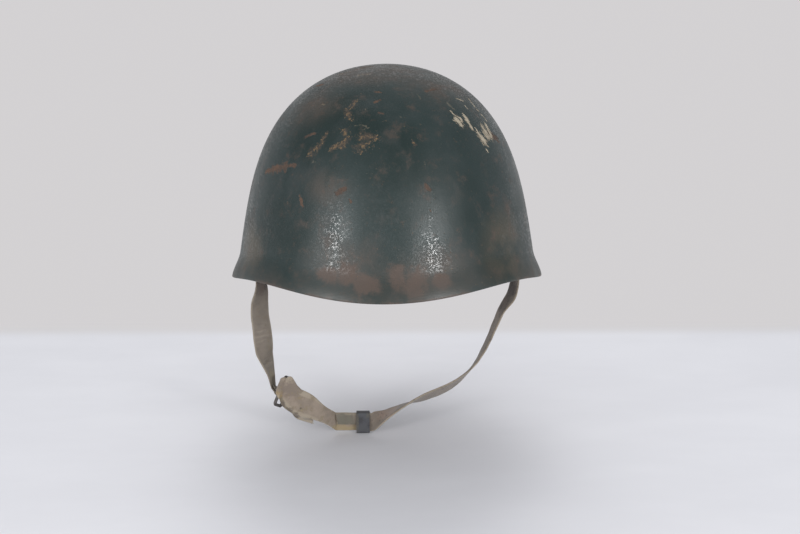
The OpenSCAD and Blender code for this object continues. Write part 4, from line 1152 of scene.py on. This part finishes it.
def lace_piece(path, length, finish):
    """Three tubes, each middle turning round the path once in a twist's length."""
    count = len(path)
    tangent = unit(np.roll(path, -1, 0) - np.roll(path, 1, 0))
    out = path * vec(1, 1, 0)
    u = unit(out - (out * tangent).sum(-1, keepdims=True) * tangent)
    v = np.cross(tangent, u)
    turn = np.linspace(0, 2 * np.pi, STRAND_SIDES, endpoint=False)[None, :, None]
    twist = 2 * np.pi * round(length / TWIST) * np.arange(count)[:, None] / count
    along, around = np.broadcast_arrays(np.arange(count)[:, None] * length / count,
                                        np.arange(STRAND_SIDES) / STRAND_SIDES / MM)
    run = np.stack([along, around, 0 * along], -1).reshape(-1, 3)
    ring = STRAND_R * (np.cos(turn) * u[:, None] + np.sin(turn) * v[:, None])
    points, faces = [], []
    for strand in range(STRANDS):
        phase = twist + strand * 2 * np.pi / STRANDS
        middle = path + STRAND_OFF * (np.cos(phase) * u + np.sin(phase) * v)
        skin, quads = closed_skin(middle[:, None] + ring, ring=True)
        faces += (np.array(quads) + strand * len(skin)).tolist()
        points.append(skin)
    return make_piece("liner_lace_cord", np.vstack(points), faces, finish, "helmet",
                      ["liner_lace"], np.vstack([run] * STRANDS))


def cotton_finish(name, clean, dirt, pitch):
    """Fine yarns on a slant: a sine of the length along plus the way round, with painted shade
    in the grooves between them.
    """
    f = Finish(name, IOR=1.45)
    p = f.place()
    along, around = f.run()
    yarn = f.math("SINE", along * (2 * math.pi / (pitch * MM)) + around * (4 * math.pi))
    cloud = f.noise(p, 170, 4, 0.6)
    fuzz = f.noise(p, 2200, 3, 0.6)
    colour = f.mix(f.step(cloud, 0.35, 0.7), clean, dirt)
    # Painted shade: darker where the yarns' sine is low, in the grooves between them
    colour = f.mix(f.step(yarn + fuzz, -0.6, 0.9, 0.5, 0), colour, dirt)
    return f.finish(colour, f.step(fuzz, 0.3, 0.7, 0.82, 0.95), [(yarn, 0.00010, 0.6),
                                                                 (fuzz, 0.00008, 0.5)])


LACE = cotton_finish("lace_cord", (0.43, 0.365, 0.25), (0.21, 0.165, 0.10), 1.1)
lace_piece(lace_points, lace_length, LACE)

# %% [markdown]
# ## Webbing
# A strap is flat webbing on a route. Each station of the route has a point, the direction of
# the webbing's width and its width; a smooth curve joins the stations. A cloth simulation would
# drift off the rings and the buckle, so the fall of the webbing is given by the stations, as in
# the CAD model. The finer straps lie where the solids lie, but for three things that a flat
# solid can't show: the tan strap is wider beside the buckle, the olive strap is twisted on its
# way up, and its free end is worn.

# %% Routes
WEB_W, WEB_T, WEB_GAP, WIRE_D, WIRE_GAP = 16.0, 1.8, 0.3, 2.6, 0.3
TURN_R = WIRE_D / 2 + WIRE_GAP + WEB_T / 2
LAYER = WEB_T + WEB_GAP
SEWN_NEAR, SEWN_STEPS, BEND_AT, BEND_IN = 5.0, 10, 2.4, 0.25
ROUTE_STEPS = 12


def stations(points, across, width):
    """Rows of a route: a point, the direction of the width, and the width."""
    points = np.atleast_2d(points)
    return np.hstack([points, np.tile([*across, width], (len(points), 1))])


def moved(row, shift):
    """The same station at another place."""
    return np.concatenate([row[:3] + shift, row[3:]])


def half_turn(bar, across, leave, side, width, count=25):
    """Half a circle round a bar, from the side away from the layer that goes on."""
    a = np.linspace(0, np.pi, count)[:, None]
    points = bar - side * TURN_R * np.cos(a) - leave * TURN_R * np.sin(a)
    return stations(points, across, width)


def sewn_end(bar, across, leave, side, back, width):
    """The sewn-back layer, the bend towards the bar and the half turn round it."""
    reach = np.linspace(back, SEWN_NEAR, SEWN_STEPS)[:, None]
    flat = stations(bar + leave * reach + side * (TURN_R - LAYER), across, width)
    bend = stations(bar + leave * BEND_AT - side * (TURN_R - BEND_IN), across, width)
    return np.vstack([flat, bend, half_turn(bar, across, leave, side, width)])


def square_to(v, axis):
    """The direction left when a vector loses its share along an axis."""
    return unit(v - (v @ axis) * axis)


print(f"Webbing turns round a wire at {TURN_R:.2f} mm from its middle")

# %% Bars that the webbing holds
TAB_GAP, BAR_OUT = 0.3, 1.0
TAB_X = BAND_W / 2 + TAB_GAP
BAR_X = TAB_X + WIRE_D / 2 + WIRE_GAP + BAR_OUT
RING_H, TAB_DROP = 8.4, 17.0
SIDE_BAR_Z = MID_Z - TAB_DROP - WIRE_D - RING_H
SEWN_BACK, SEWN_LOW, FOLD_W, HOLD_W, PASS_D = 15.0, 10.0, 11.6, 10.0, 4.2
BUCKLE_BAR = vec(-86.6, -13.4, -91.7)
BUCKLE_E = unit(vec(0.2, 0.87, -0.45))
BUCKLE_N = unit(np.cross(BUCKLE_E, vec(0.36, 0.362, 0.86)))
BUCKLE_D = np.cross(BUCKLE_N, BUCKLE_E)
CROSS_BAR = BUCKLE_BAR - (FOLD_W / 2 + WIRE_GAP + WIRE_D / 2) * BUCKLE_D
HOLD_MID = CROSS_BAR + (WIRE_D / 2 + PASS_D + HOLD_W / 2) * BUCKLE_E
DOWN, FORE = -UP, vec(0, 1, 0)
KEEPER_Y, KEEPER_Z, STRETCH_LO, STRETCH_HI = 1.0, -129.3, -44.0, -14.0
print("Buckle's cross bar in mm:", CROSS_BAR.round(1).tolist())

# %% Left strap route
TOP_EASE, LOW_EASE = 14, 9
LEFT_ROUTE = [
    [-102.2, 0, -9, 0.44, 0.9, 0, WEB_W], [-103.8, 0, -24, 0.79, 0.61, 0, WEB_W],
    [-104.2, 0, -34.3, 0.88, 0.48, 0, WEB_W], [-103.2, 0, -44.6, 0.88, 0.46, 0.08, WEB_W],
    [-102.3, 0, -55, 0.94, 0.35, 0.08, WEB_W], [-101.6, 0, -65.3, 0.86, 0.5, 0.08, WEB_W],
    [-100.5, 0, -70.6, 0.67, 0.73, 0.14, WEB_W], [-99.1, 0, -75.7, 0.49, 0.86, 0.12, WEB_W],
    [-97.6, -0.3, -81, 0.33, 0.94, 0.08, WEB_W], [-96.5, -0.8, -86.3, 0.23, 0.97, 0, 15]]


def left_stations():
    """Sewn round the left ring's bar, down the route, sewn round the buckle's bar."""
    leave = square_to(vec(-0.6, 0, 0.8), BUCKLE_E)
    side = unit(np.cross(leave, BUCKLE_E))
    top = sewn_end(vec(-BAR_X, 0, SIDE_BAR_Z), FORE, DOWN, vec(-1, 0, 0), SEWN_BACK, WEB_W)
    low = sewn_end(HOLD_MID, BUCKLE_E, leave, side, SEWN_LOW, HOLD_W)
    rows = [moved(top[-1], TOP_EASE * DOWN), *LEFT_ROUTE, moved(low[-1], LOW_EASE * leave)]
    return np.vstack([top, smooth_rows(rows, ROUTE_STEPS), low[::-1]])


print("Left strap:", len(left_stations()), "stations")

# %% Middle strap route
MIDDLE_BACK = [[-60.8, -8, -117.6, 4.3, 0, 20.6, 20], [-67, -8.8, -114, 6, 0, 22, 22],
               [-73.5, -9.2, -109.2, 7, 0, 22, 24], [-78.6, -9.8, -101, 6.5, 0, 18, 20]]
MIDDLE_FRONT = [
    [-82.4, -15.3, -95.6, 7.1, 0, 20.9, 26.6], [-76.1, -14.5, -103.8, 7.2, 0, 22.3, 23.4],
    [-69.3, -13.3, -108.2, 6.3, 0, 22.4, 23.3], [-61.3, -11.2, -112.1, 2.9, 0, 19.8, 20],
    [-52.2, -6.5, -120.1, 0.3, 0, 16, 16]]
FRONT_SLIP, FRONT_SPREAD, BACK_EASE = 1.1, 1.6, 6
STRETCH_STEPS, END_STEPS = 20, 30


def keeper_stretch(x, side):
    """Stations of the straight stretch that the keeper slides on."""
    x = np.asarray(x, float)
    points = np.stack([x, 0 * x + KEEPER_Y + side * LAYER / 2, 0 * x + KEEPER_Z], -1)
    return stations(points, UP, WEB_W)


def middle_stations():
    """Folded round the buckle's front bar, both layers spread open, then the keeper's stretch."""
    leave = square_to(vec(0.92, 0, -0.39), BUCKLE_D)
    side = np.cross(leave, BUCKLE_D)
    turn = half_turn(BUCKLE_BAR, BUCKLE_D, leave, side, FOLD_W)
    spread = np.clip(np.linspace(-1, 1, len(turn)), 0, 1)
    turn[:, :3] -= FRONT_SLIP * spread[:, None] * BUCKLE_D
    turn[:, 6] = FOLD_W + (WEB_W + FRONT_SPREAD - FOLD_W) * spread
    back = smooth_rows([*MIDDLE_BACK, moved(turn[0], BACK_EASE * leave)], ROUTE_STEPS)
    front = smooth_rows([moved(turn[-1], unit(vec(0.67, 0, -0.74))), *MIDDLE_FRONT,
                         keeper_stretch([STRETCH_LO], 1)[0]], ROUTE_STEPS)
    straight = keeper_stretch(np.linspace(STRETCH_LO, STRETCH_HI - 1, STRETCH_STEPS)[1:], 1)
    return np.vstack([back, turn, front, straight])


print("Middle strap:", len(middle_stations()), "stations")

# %% Right strap route
RIGHT_ROUTE = [
    [103.4, 1, -9, -0.3, 0.95, 0.1, WEB_W], [100.6, 1.5, -20, -0.3, 0.94, 0.15, WEB_W],
    [94.1, 2, -30.4, -0.13, 0.98, 0.1, WEB_W], [91.7, 2, -35.5, -0.13, 0.99, 0.06, WEB_W],
    [87.6, 2, -45.8, -0.1, 0.99, 0.04, WEB_W], [83.6, 2, -56.1, -0.05, 1, 0.02, WEB_W],
    [78.8, 2, -66.5, -0.01, 1, 0, WEB_W], [73, 2, -76.9, 0.11, 0.99, -0.08, WEB_W],
    [64.4, 2, -87.4, 0.25, 0.94, -0.24, WEB_W], [54.9, 2, -95.6, 0.32, 0.84, -0.44, WEB_W],
    [45, 2, -101.5, 0.29, 0.77, -0.57, WEB_W], [35, 2, -105.8, 0.26, 0.77, -0.59, WEB_W],
    [25, 2, -110.1, 0.20, 0.85, -0.49, WEB_W], [15, 1.8, -114.2, 0.10, 0.97, -0.22, WEB_W],
    [5, 1.2, -119.2, -0.02, 0.99, 0, WEB_W], [-3, 0.5, -123.9, 0, 0.95, 0.3, WEB_W],
    [-9, 0.1, -127.2, 0, 0.7, 0.7, WEB_W]]


def right_stations():
    """Sewn round the right ring's bar, down the route, then the keeper's stretch."""
    top = sewn_end(vec(BAR_X, 0, SIDE_BAR_Z), FORE, DOWN, vec(1, 0, 0), SEWN_BACK, WEB_W)
    rows = [moved(top[-1], TOP_EASE * DOWN), *RIGHT_ROUTE, keeper_stretch([STRETCH_HI], -1)[0]]
    straight = keeper_stretch(np.linspace(STRETCH_HI, STRETCH_LO, END_STEPS)[1:], -1)
    return np.vstack([top, smooth_rows(rows, ROUTE_STEPS), straight])


print("Right strap:", len(right_stations()), "stations")

# %% [markdown]
# The section of the webbing is a flat oval with slightly thicker selvedges. It is carried along
# the route at even steps. Lengths along and across are kept on the points, and the weave, the
# worn edges and the stitches all follow them. A free end needs one more step, which draws it up
# where it is worn and cuts it on a slant.

# %% Strap along its route
class Strap:
    """A route resampled at even steps, with its tangent, width direction and face normal."""

    def __init__(self, rows, skewed=True, spacing=0.8):
        steps = np.linalg.norm(np.diff(rows[:, :3], axis=0), axis=1)
        keep = np.append(True, steps > 1e-6)
        rows, along = rows[keep], np.append(0, np.cumsum(steps))[keep]
        self.length = along[-1]
        self.s = np.linspace(0, self.length, int(self.length / spacing))
        rows = np.stack([np.interp(self.s, along, row) for row in rows.T], -1)
        self.point, self.width = rows[:, :3], rows[:, 6]
        tangent = unit(np.gradient(self.point, axis=0))
        across = unit(rows[:, 3:6])
        if not skewed:
            across = unit(across - (across * tangent).sum(-1, keepdims=True) * tangent)
        self.tangent, self.across = tangent, across
        self.normal = unit(np.cross(tangent, across))

    def at(self, s, c, lift):
        """Place, tangent, width direction and normal at lengths s, shares c of the half width."""
        def value(array):
            return np.stack([np.interp(s, self.s, array[:, k]) for k in range(3)], -1)
        across, normal, tangent = value(self.across), value(self.normal), value(self.tangent)
        half = np.interp(s, self.s, self.width) / 2
        place = value(self.point) + across * (half * c)[..., None] + normal * lift[..., None]
        return place, unit(tangent), unit(across), unit(normal)


left_strap = Strap(left_stations(), skewed=False)
middle_strap = Strap(middle_stations())
right_strap = Strap(right_stations())
print("Lengths in mm:", [round(strap.length) for strap in (left_strap, middle_strap, right_strap)])

# %% Webbing surface
SECTION, FLATNESS = 26, 9
SELVEDGE_AT, SELVEDGE_W, SELVEDGE_RISE = 0.86, 0.08, 0.07


def webbing_section():
    """Shares across and through: a flat oval, a little thicker near its two edges."""
    angle = np.linspace(0, 2 * np.pi, SECTION, endpoint=False)
    c = np.sign(np.cos(angle)) * np.abs(np.cos(angle)) ** 0.8
    flat = (1 - np.abs(c) ** FLATNESS) ** 0.5 * np.where(np.sin(angle) >= 0, 1, -1)
    ridge = np.exp(-(((np.abs(c) - SELVEDGE_AT) / SELVEDGE_W) ** 2))
    return c, flat * (1 - SELVEDGE_RISE + SELVEDGE_RISE * ridge)


def webbing_piece(name, strap, finish, seed, trim=None):
    """The section carried along the strap, with a slightly uneven edge and surface."""
    c, h = webbing_section()
    wave = np.random.default_rng(seed).uniform(0, 2 * np.pi, 4)
    s = strap.s[:, None]
    edge = 1 + 0.008 * np.sin(s / 5.1 + wave[0]) + 0.006 * np.sin(s / 2.3 + wave[1] + 2 * c)
    swell = 0.05 * np.sin(s / 3.7 + wave[2] + 3 * c) + 0.04 * np.sin(s / 1.9 + wave[3])
    half = strap.width[:, None] / 2 * edge
    points = (strap.point[:, None] + strap.across[:, None] * (half * c)[..., None]
              + strap.normal[:, None] * (h * WEB_T / 2 + swell)[..., None])
    if trim is not None:
        points = trim(points)
    run = np.stack(np.broadcast_arrays(s, half * c, np.sign(h)[None, :] / MM), -1)
    skin, faces = closed_skin(points)
    return make_piece(name, skin, faces, finish, "chinstrap",
                      [name.replace("webbing", "strap")], run.reshape(-1, 3))


print("Section of", SECTION, "points, half width from", webbing_section()[0].min().round(2))

# %% [markdown]
# ## Webbing finish
# Webbing is a tight plain weave of cotton. Warp threads run along it and weft threads across,
# so a product of two sines, one along and one across, is a fair picture of which thread is on
# top; the gaps between the threads get painted shade and their tops a painted highlight.
# Modelled threads would be far too many, and the sines bend with the strap, because they read
# its own lengths. Old straps wear pale at the edges, are darker where the tan one is folded
# round the buckle and yellow where hands touch them. Painted shade darkens the straps just
# under the rim, where one layer lies over another and where a face turns down, and the crests
# of short folds get a painted highlight.

# %% Webbing material
WARP_PITCH, WEFT_PITCH = 0.00062, 0.00075
NEAR_BLACK = (0.03, 0.02, 0.015)
# Painted shade in the weave's gaps and a painted highlight on the tops of its threads
THREAD_GAP_SHADE, THREAD_TOP_HIGHLIGHT = (0.45, 0.43, 0.4), (1.08, 1.08, 1.08)
FOLDS_PER_METRE = 1500


def webbing_finish(name, face, dirt, edge, stains_and_shade=(), spots=(), lit_creases=()):
    """A weave of two sines with painted shade in its gaps, a pale worn edge, torn stained patches
    and painted shade, dark spots, and short folds with a painted highlight on their crests.
    """
    f = Finish(name, IOR=1.45, Sheen_Weight=0.25, Sheen_Roughness=0.6)
    p = f.place()
    along, across = f.run()
    weave = (f.math("SINE", along * (math.pi / WEFT_PITCH))
             * f.math("SINE", across * (math.pi / WARP_PITCH)))
    rib = f.math("ABSOLUTE", weave) ** 0.6
    cloud = f.noise(p, 90, 4, 0.6)
    fuzz = f.noise(p, 900, 4, 0.7)
    blotch = f.noise(p, 260, 6, 0.72) * 2.4 + cloud
    worn_edge = f.step(f.math("ABSOLUTE", across) + fuzz * 0.0012, 0.0068, 0.0083)
    colour = f.mix(f.step(cloud, 0.35, 0.7), face, dirt)
    colour = f.mix(worn_edge * 0.8, colour, edge)
    for tone, *zones in stains_and_shade:
        stain_and_shade = f.step(f.patches(p, zones, 0.95) + blotch, 1.75, 2.40)
        colour = f.mix(stain_and_shade * 0.9, colour, tone)
    if spots:
        # Near-black specks at the given spots
        colour = f.mix(f.patches(p, spots, 0.7) * f.step(fuzz, 0.3, 0.6), colour, NEAR_BLACK)
    bumps = [(rib, 0.00014, 0.6), (fuzz, 0.00010, 0.4), (cloud, 0.0008, 0.3)]
    if lit_creases:
        # Short folds across the strap, a sine of the length along that wanders; their crests get a
        # painted highlight
        wander = f.math("SINE", along * FOLDS_PER_METRE + cloud * 9)
        fold_and_highlight = f.patches(p, lit_creases, 0.8) * wander
        colour = f.mix(f.step(fold_and_highlight, 0.2, 1.0) * 0.35, colour, edge)
        bumps.append((fold_and_highlight, 0.0004, 0.6))
    # Painted shade between the threads and a painted highlight on their tops, multiplied into the
    # colour
    shade = f.mix(rib, THREAD_GAP_SHADE, THREAD_TOP_HIGHLIGHT)
    colour = f.node("Mix", {"data_type": "RGBA", "blend_type": "MULTIPLY"}, 2, Factor_Float=0.55,
                    A_Color=colour, B_Color=shade)
    colour = f.mix(f.step(weave, -0.25, 0.25) * 0.12, colour, edge)
    return f.finish(colour, f.step(fuzz, 0.2, 0.8, 0.82, 0.97), bumps)


print("Threads to the centimetre, along and across:",
      round(0.01 / WEFT_PITCH), round(0.01 / WARP_PITCH))

# %% Three kinds of webbing
# Entries are stained places and painted shade: a tone and then its patches, each a centre and its
# radii in millimetres
GREY_WEB = webbing_finish(
    "webbing_grey", (0.215, 0.182, 0.150), (0.155, 0.132, 0.108), (0.33, 0.285, 0.23),
    stains_and_shade=[((0.255, 0.21, 0.125), ((-97.5, -1, -90), (7, 10, 12))),
            # Painted shade at the top of the strap, just under the rim
            ((0.125, 0.092, 0.072), ((-103, 0, -9), (9, 12, 14)))],
    spots=[((-98.5, 2, -11), (2, 8, 6))],
    lit_creases=[((-104, 0, -52), (9, 12, 14)), ((-100, 0, -76), (8, 12, 8))])
TAN_WEB = webbing_finish(
    "webbing_tan", (0.32, 0.258, 0.205), (0.235, 0.190, 0.152), (0.38, 0.325, 0.25),
    stains_and_shade=[((0.200, 0.158, 0.130), ((-80, -15, -93), (17, 6, 12))),
            ((0.36, 0.25, 0.10), ((-90, -14, -98), (7, 9, 6.5))),
            # Painted shade along the lower edge, where the front layer's underside meets the layer
            # behind
            ((0.085, 0.062, 0.050), ((-88, -14, -107), (7, 9, 9)),
             ((-82.5, -14, -114), (7, 9, 8)), ((-76.5, -14, -119), (8, 9, 7))),
            # Painted shade on the end of the layer behind
            ((0.16, 0.155, 0.150), ((-67, -8, -121), (9, 3.5, 6))),
            ((0.34, 0.265, 0.150), ((-42, 1, -135), (28, 6, 5)))],
    spots=[((-71.5, -13, -111), (2.0, 3, 1.6))])
OLIVE_WEB = webbing_finish(
    "webbing_olive", (0.215, 0.176, 0.146), (0.165, 0.136, 0.110), (0.33, 0.28, 0.215),
    # Painted shade first: the upper part of the free end, where it faces down
    stains_and_shade=[((0.140, 0.136, 0.105), ((-37, -1, -127), (14, 6, 10))),
            ((0.36, 0.262, 0.210), ((2, 1, -121), (18, 12, 12))),
            # Painted shade: the top of the strap just under the rim, and its inner edge down from
            # there
            ((0.105, 0.075, 0.060), ((95, 2, -30), (8, 12, 20))),
            ((0.040, 0.028, 0.025), ((101, 2, -12), (9, 12, 13)))],
    spots=[((98, 2, -19), (4, 7, 7)), ((93, 5, -31), (3, 5, 6))])
print("Nodes of the tan webbing:", len(TAN_WEB.node_tree.nodes))

# %% Three straps
END_SLANT, FREE_FROM = 3.4, 6
WORN_FROM, WORN_RUN, WORN_SHARE = -21.0, 5.0, 0.78


def cut_back(share, slant):
    """How much sooner a slanted end stops at a share of the half width, its upper edge at 1."""
    return slant * (1 - share) / 2


def drawn_up(points):
    """Draws the lower half of the worn free end up by a smooth step."""
    drop = np.minimum(points[..., 2] - KEEPER_Z, 0)
    worn = ease(np.clip((WORN_FROM - points[..., 0]) / WORN_RUN, 0, 1))
    points[..., 2] -= drop * WORN_SHARE * worn
    return points


def slanted_end(points):
    """Draws the free end up and cuts it on a slant."""
    points = drawn_up(points)
    limit = STRETCH_LO + cut_back((points[..., 2] - KEEPER_Z) * 2 / WEB_W, END_SLANT)
    near = points[..., 0] < STRETCH_HI - FREE_FROM
    points[..., 0] = np.where(near, np.maximum(points[..., 0], limit), points[..., 0])
    return points


webbing_piece("webbing_left", left_strap, GREY_WEB, 3)
webbing_piece("webbing_middle", middle_strap, TAN_WEB, 5)
webbing_piece("webbing_right", right_strap, OLIVE_WEB, 7, slanted_end)

# %% [markdown]
# ## Stitches and frayed ends
# Each sewn end is held by a box of stitches, seen on both outer faces. A stitch is a thread
# that comes up out of the webbing, lies on it and dives in again: a short tube on an arch. A
# cut end frays, so loose threads leave it at random on bent lines. Hair could make them too,
# but it wouldn't stay with the strap's mesh, so all threads of a strap are made at once as
# arrays, and each is only a few faces.

# %% Threads
THREAD_R, THREAD_SIDES, THREAD_STEPS = 0.30, 6, 7
SUNK, ARCH = 0.30, 0.42


def stitch_line(start, end, pitch=2.7):
    """Middles and directions of stitches on a straight line of lengths along and across."""
    start, end = vec(*start), vec(*end)
    length = np.linalg.norm(end - start)
    count = max(1, round(length / pitch))
    middle = start + (end - start) * ((np.arange(count) + 0.5) / count)[:, None]
    return np.hstack([middle, np.tile((end - start) / length, (count, 1))])


def stitch_box(near, far, half):
    """Four sides of a box and its two diagonals."""
    corners = [(near, -half), (near, half), (far, half), (far, -half)]
    lines = [stitch_line(corners[k], corners[(k + 1) % 4]) for k in range(4)]
    lines += [stitch_line(corners[0], corners[2]), stitch_line(corners[1], corners[3])]
    return np.vstack(lines)


def arched_threads(strap, stitches, face):
    """Paths and radii: a stitch rises by a power of a sine, and thins where it dives in."""
    u = np.linspace(-1, 1, THREAD_STEPS)
    s = stitches[:, :1] + stitches[:, 2:3] * u
    across = stitches[:, 1:2] + stitches[:, 3:4] * u
    share = across / (np.interp(s, strap.s, strap.width) / 2)
    rise = np.cos(u * np.pi / 2) ** 0.5
    lift = face * (WEB_T / 2 - SUNK + ARCH * rise)
    place, _, _, normal = strap.at(s, share, np.broadcast_to(lift, s.shape))
    radii = np.broadcast_to(THREAD_R * (0.45 + 0.55 * rise), s.shape)
    return place, radii, normal[:, 3]


def thread_piece(name, paths, radii, sides, helper, finish):
    """All threads of a strap as one piece of round tubes."""
    points, faces = tubes(paths, radii, sides, helper)
    return make_piece(name, points, faces, finish, "chinstrap",
                      run=np.zeros((len(points), 3)))


def stitch_piece(name, strap, parts):
    """Parts are stitch boxes with the face that each is seen on."""
    made = [arched_threads(strap, box, face) for box, face in parts]
    paths, radii, helper = (np.concatenate([m[k] for m in made]) for k in range(3))
    return thread_piece(name, paths, radii, THREAD_SIDES, helper, THREAD)


THREAD = cotton_finish("stitch_thread", (0.36, 0.32, 0.25), (0.20, 0.17, 0.125), 0.9)
print("Stitches in one box:", len(stitch_box(0, 10, 5)))

# %% Stitches
END_MARGIN, BEND_MARGIN, BEND_LENGTH = 1.8, 0.6, 3.7
TURN_LENGTH = np.pi * TURN_R


def both_faces(strap, back, half, from_end=False):
    """Boxes on the sewn-back layer and, past the turn, on the layer that it is sewn to."""
    turn = back - SEWN_NEAR + BEND_LENGTH + TURN_LENGTH
    boxes = [stitch_box(END_MARGIN, back - SEWN_NEAR - BEND_MARGIN, half),
             stitch_box(turn + SEWN_NEAR + BEND_MARGIN, turn + back - END_MARGIN, half)]
    for box in boxes:
        if from_end:
            box[:, 0] = strap.length - box[:, 0]
            box[:, 2] *= -1
    a, b = (strap.at(box[:1, 0], vec(0), vec(0)) for box in boxes)
    face = 1 if (a[3] * (a[0] - b[0])).sum() > 0 else -1
    return [(box, face) for box in boxes]


stitch_piece("stitches_left", left_strap, both_faces(left_strap, SEWN_BACK, 5.6)
             + both_faces(left_strap, SEWN_LOW, 3.0, from_end=True))
stitch_piece("stitches_right", right_strap, both_faces(right_strap, SEWN_BACK, 5.6))

# %% Frayed ends
PALE_THREAD = cotton_finish("loose_thread", (0.46, 0.40, 0.30), (0.28, 0.235, 0.17), 0.9)
FRAY_R, FRAY_STEPS, FRAY_SIDES, FRAY_IN = 0.15, 6, 4, 0.8


def frayed_piece(name, strap, ends, seed, bend=None):
    """Threads at cut ends: each leaves the cut face and bends away, thinner at its tip.

    An end is a length along the strap, the way out of it as 1 or -1, a count of threads, their
    reach and the slant of the cut.
    """
    rng = np.random.default_rng(seed)
    u = np.linspace(0, 1, FRAY_STEPS)
    paths = []
    for end, way, count, reach, slant in ends:
        share = rng.uniform(-0.96, 0.96, count)
        s = end - way * cut_back(share, slant)
        place, tangent, across, normal = strap.at(s, share, rng.uniform(-0.65, 0.65, count))
        length = rng.uniform(0.35, 1, (count, 1, 1)) * reach
        sideways = rng.normal(0, 0.45, (count, 1, 1)) * across[:, None]
        bent = rng.normal(0, 0.40, (count, 1, 1)) * normal[:, None]
        start = place - way * tangent * FRAY_IN
        straight = way * tangent[:, None] * (length + FRAY_IN) * u[:, None]
        paths.append(start[:, None] + straight + (sideways + bent) * length * u[:, None] ** 2)
    paths = np.concatenate(paths)
    if bend is not None:
        paths = bend(paths)
    radii = np.broadcast_to(FRAY_R * (1 - 0.5 * u), paths.shape[:2])
    helper = np.tile(vec(0.31, 0.52, 0.79), (len(paths), 1))
    return thread_piece(name, paths, radii, FRAY_SIDES, helper, PALE_THREAD)


frayed_piece("frays_left", left_strap, [(0, -1, 46, 1.8, 0), (left_strap.length, 1, 30, 1.5, 0)],
             11)
frayed_piece("frays_middle", middle_strap,
             [(0, -1, 46, 1.5, 0), (middle_strap.length, 1, 30, 1.2, 0)], 12)
frayed_piece("frays_right", right_strap,
             [(0, -1, 46, 1.8, 0), (right_strap.length, 1, 50, 1.5, END_SLANT)],
             13, drawn_up)

# %% [markdown]
# ## Floor and light
# One wide pale floor takes the shadow and is also the backdrop: near the helmet it is plain
# floor, and farther back its colour to the camera is the backdrop's. On each side in front, a
# small lamp and a wide glow share one direction and give the two upright highlights with their
# soft borders. A third lamp lights the crown from above and behind, and gloss doesn't see it,
# because the photograph has no bright spot there. The world fills in.

# %% Floor
BACKDROP_TONE = (0.655, 0.64, 0.65)
FLOOR_TONE, FLOOR_SHADE = (0.74, 0.735, 0.765), (0.71, 0.705, 0.735)
FLOOR_GAP, FLOOR_REACH = 0.0005, 14
FLOOR_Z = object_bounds()[0].z - FLOOR_GAP
FLOOR_END = 0.27


def floor_finish():
    """Plain floor near the helmet; past its end a backdrop that glows for eye and gloss."""
    f = Finish("floor", Roughness=0.9, Specular_IOR_Level=0.1)
    p = f.place()
    waves = f.noise(f.scaled(p, (1, 2.4, 1)), 5, 4, 0.6)
    near = f.mix(f.step(waves, 0.3, 0.7), FLOOR_SHADE, FLOOR_TONE)
    far = f.step(f.part(p, "Y"), FLOOR_END - 0.015, FLOOR_END + 0.03)
    f.plug(f.shader, "Base Color", f.mix(far, near, BACKDROP_TONE))
    glow = f.node("Emission", Color=BACKDROP_TONE)
    f.output(f.node("MixShader", _0=far * f.seen(), _1=Value(f, f.shader.outputs[0]), _2=glow))
    return f.material


floor_mesh = bpy.data.meshes.new("floor")
floor_mesh.from_pydata([(x * FLOOR_REACH, y * FLOOR_REACH, FLOOR_Z)
                        for x, y in ((-1, -1), (1, -1), (1, 1), (-1, 1))], [], [(0, 1, 2, 3)])
floor_mesh.materials.append(floor_finish())
placed("floor", floor_mesh)
print("Floor at", round(FLOOR_Z, 4))

# %% Lamps
LAMP_SPREAD = math.radians(60)
LAMP_AIM = Vector((0, 0, 0.05))


def lamp(name, azimuth, height, distance, size, power):
    """A rectangular soft lamp that faces the middle of the helmet and lights little beside it."""
    light = bpy.data.lights.new(name, "AREA")
    light.shape, light.size, light.size_y, light.energy = "RECTANGLE", *size, power
    light.spread = LAMP_SPREAD
    holder = placed(name, light)
    a = math.radians(azimuth)
    place = Vector((distance * math.sin(a), -distance * math.cos(a), height))
    aim = (LAMP_AIM - place).to_track_quat("-Z", "Y")
    holder.matrix_world = Matrix.Translation(place) @ aim.to_matrix().to_4x4()
    return holder


for side, azimuth, share in (("left", -44, 0.85), ("right", 42, 0.92)):
    lamp(side + "_lamp", azimuth, 0.36, distance=1.9, size=(0.30, 0.26), power=1.00 * share)
    lamp(side + "_glow", azimuth, 0.38, distance=1.95, size=(1.15, 0.50), power=0.90 * share)
top_lamp = lamp("top_lamp", 180, 2.1, distance=1.1, size=(1.6, 1.6), power=2.6)
top_lamp.visible_glossy = False

# %% World
DIM_TONE, LOW_TONE = (0.12, 0.12, 0.13), (0.54, 0.56, 0.57)
DAYLIGHT, DAYLIGHT_STRENGTH = (0.95, 0.97, 1.0), 0.74
world = bpy.data.worlds.new("studio")
bpy.context.scene.world = world
world.use_nodes = True
w = Wires(world.node_tree)
# Gloss sees the pale backdrop behind the helmet, a dim tone at the sides and above, and a
# middle tone low in front
way = w.node("TexCoord", out="Generated")
behind = w.step(w.part(way, "Y"), 0.35, 0.95)
aside = w.most(w.step(w.part(way, "Z"), 0.30, 0.90), w.step(w.part(way, "Y"), -0.80, -0.15))
around = w.mix(aside, LOW_TONE, DIM_TONE)
tone = w.mix(w.most(behind, w.node("LightPath", out="Is Camera Ray")), around, BACKDROP_TONE)
daylight = w.node("Background", Color=DAYLIGHT, Strength=DAYLIGHT_STRENGTH)
w.output(w.node("MixShader", _0=w.seen(), _1=daylight, _2=w.node("Background", Color=tone)),
         "World Output")
bpy.context.scene.view_settings.view_transform = "Standard"
print("World has", len(world.node_tree.nodes), "nodes")
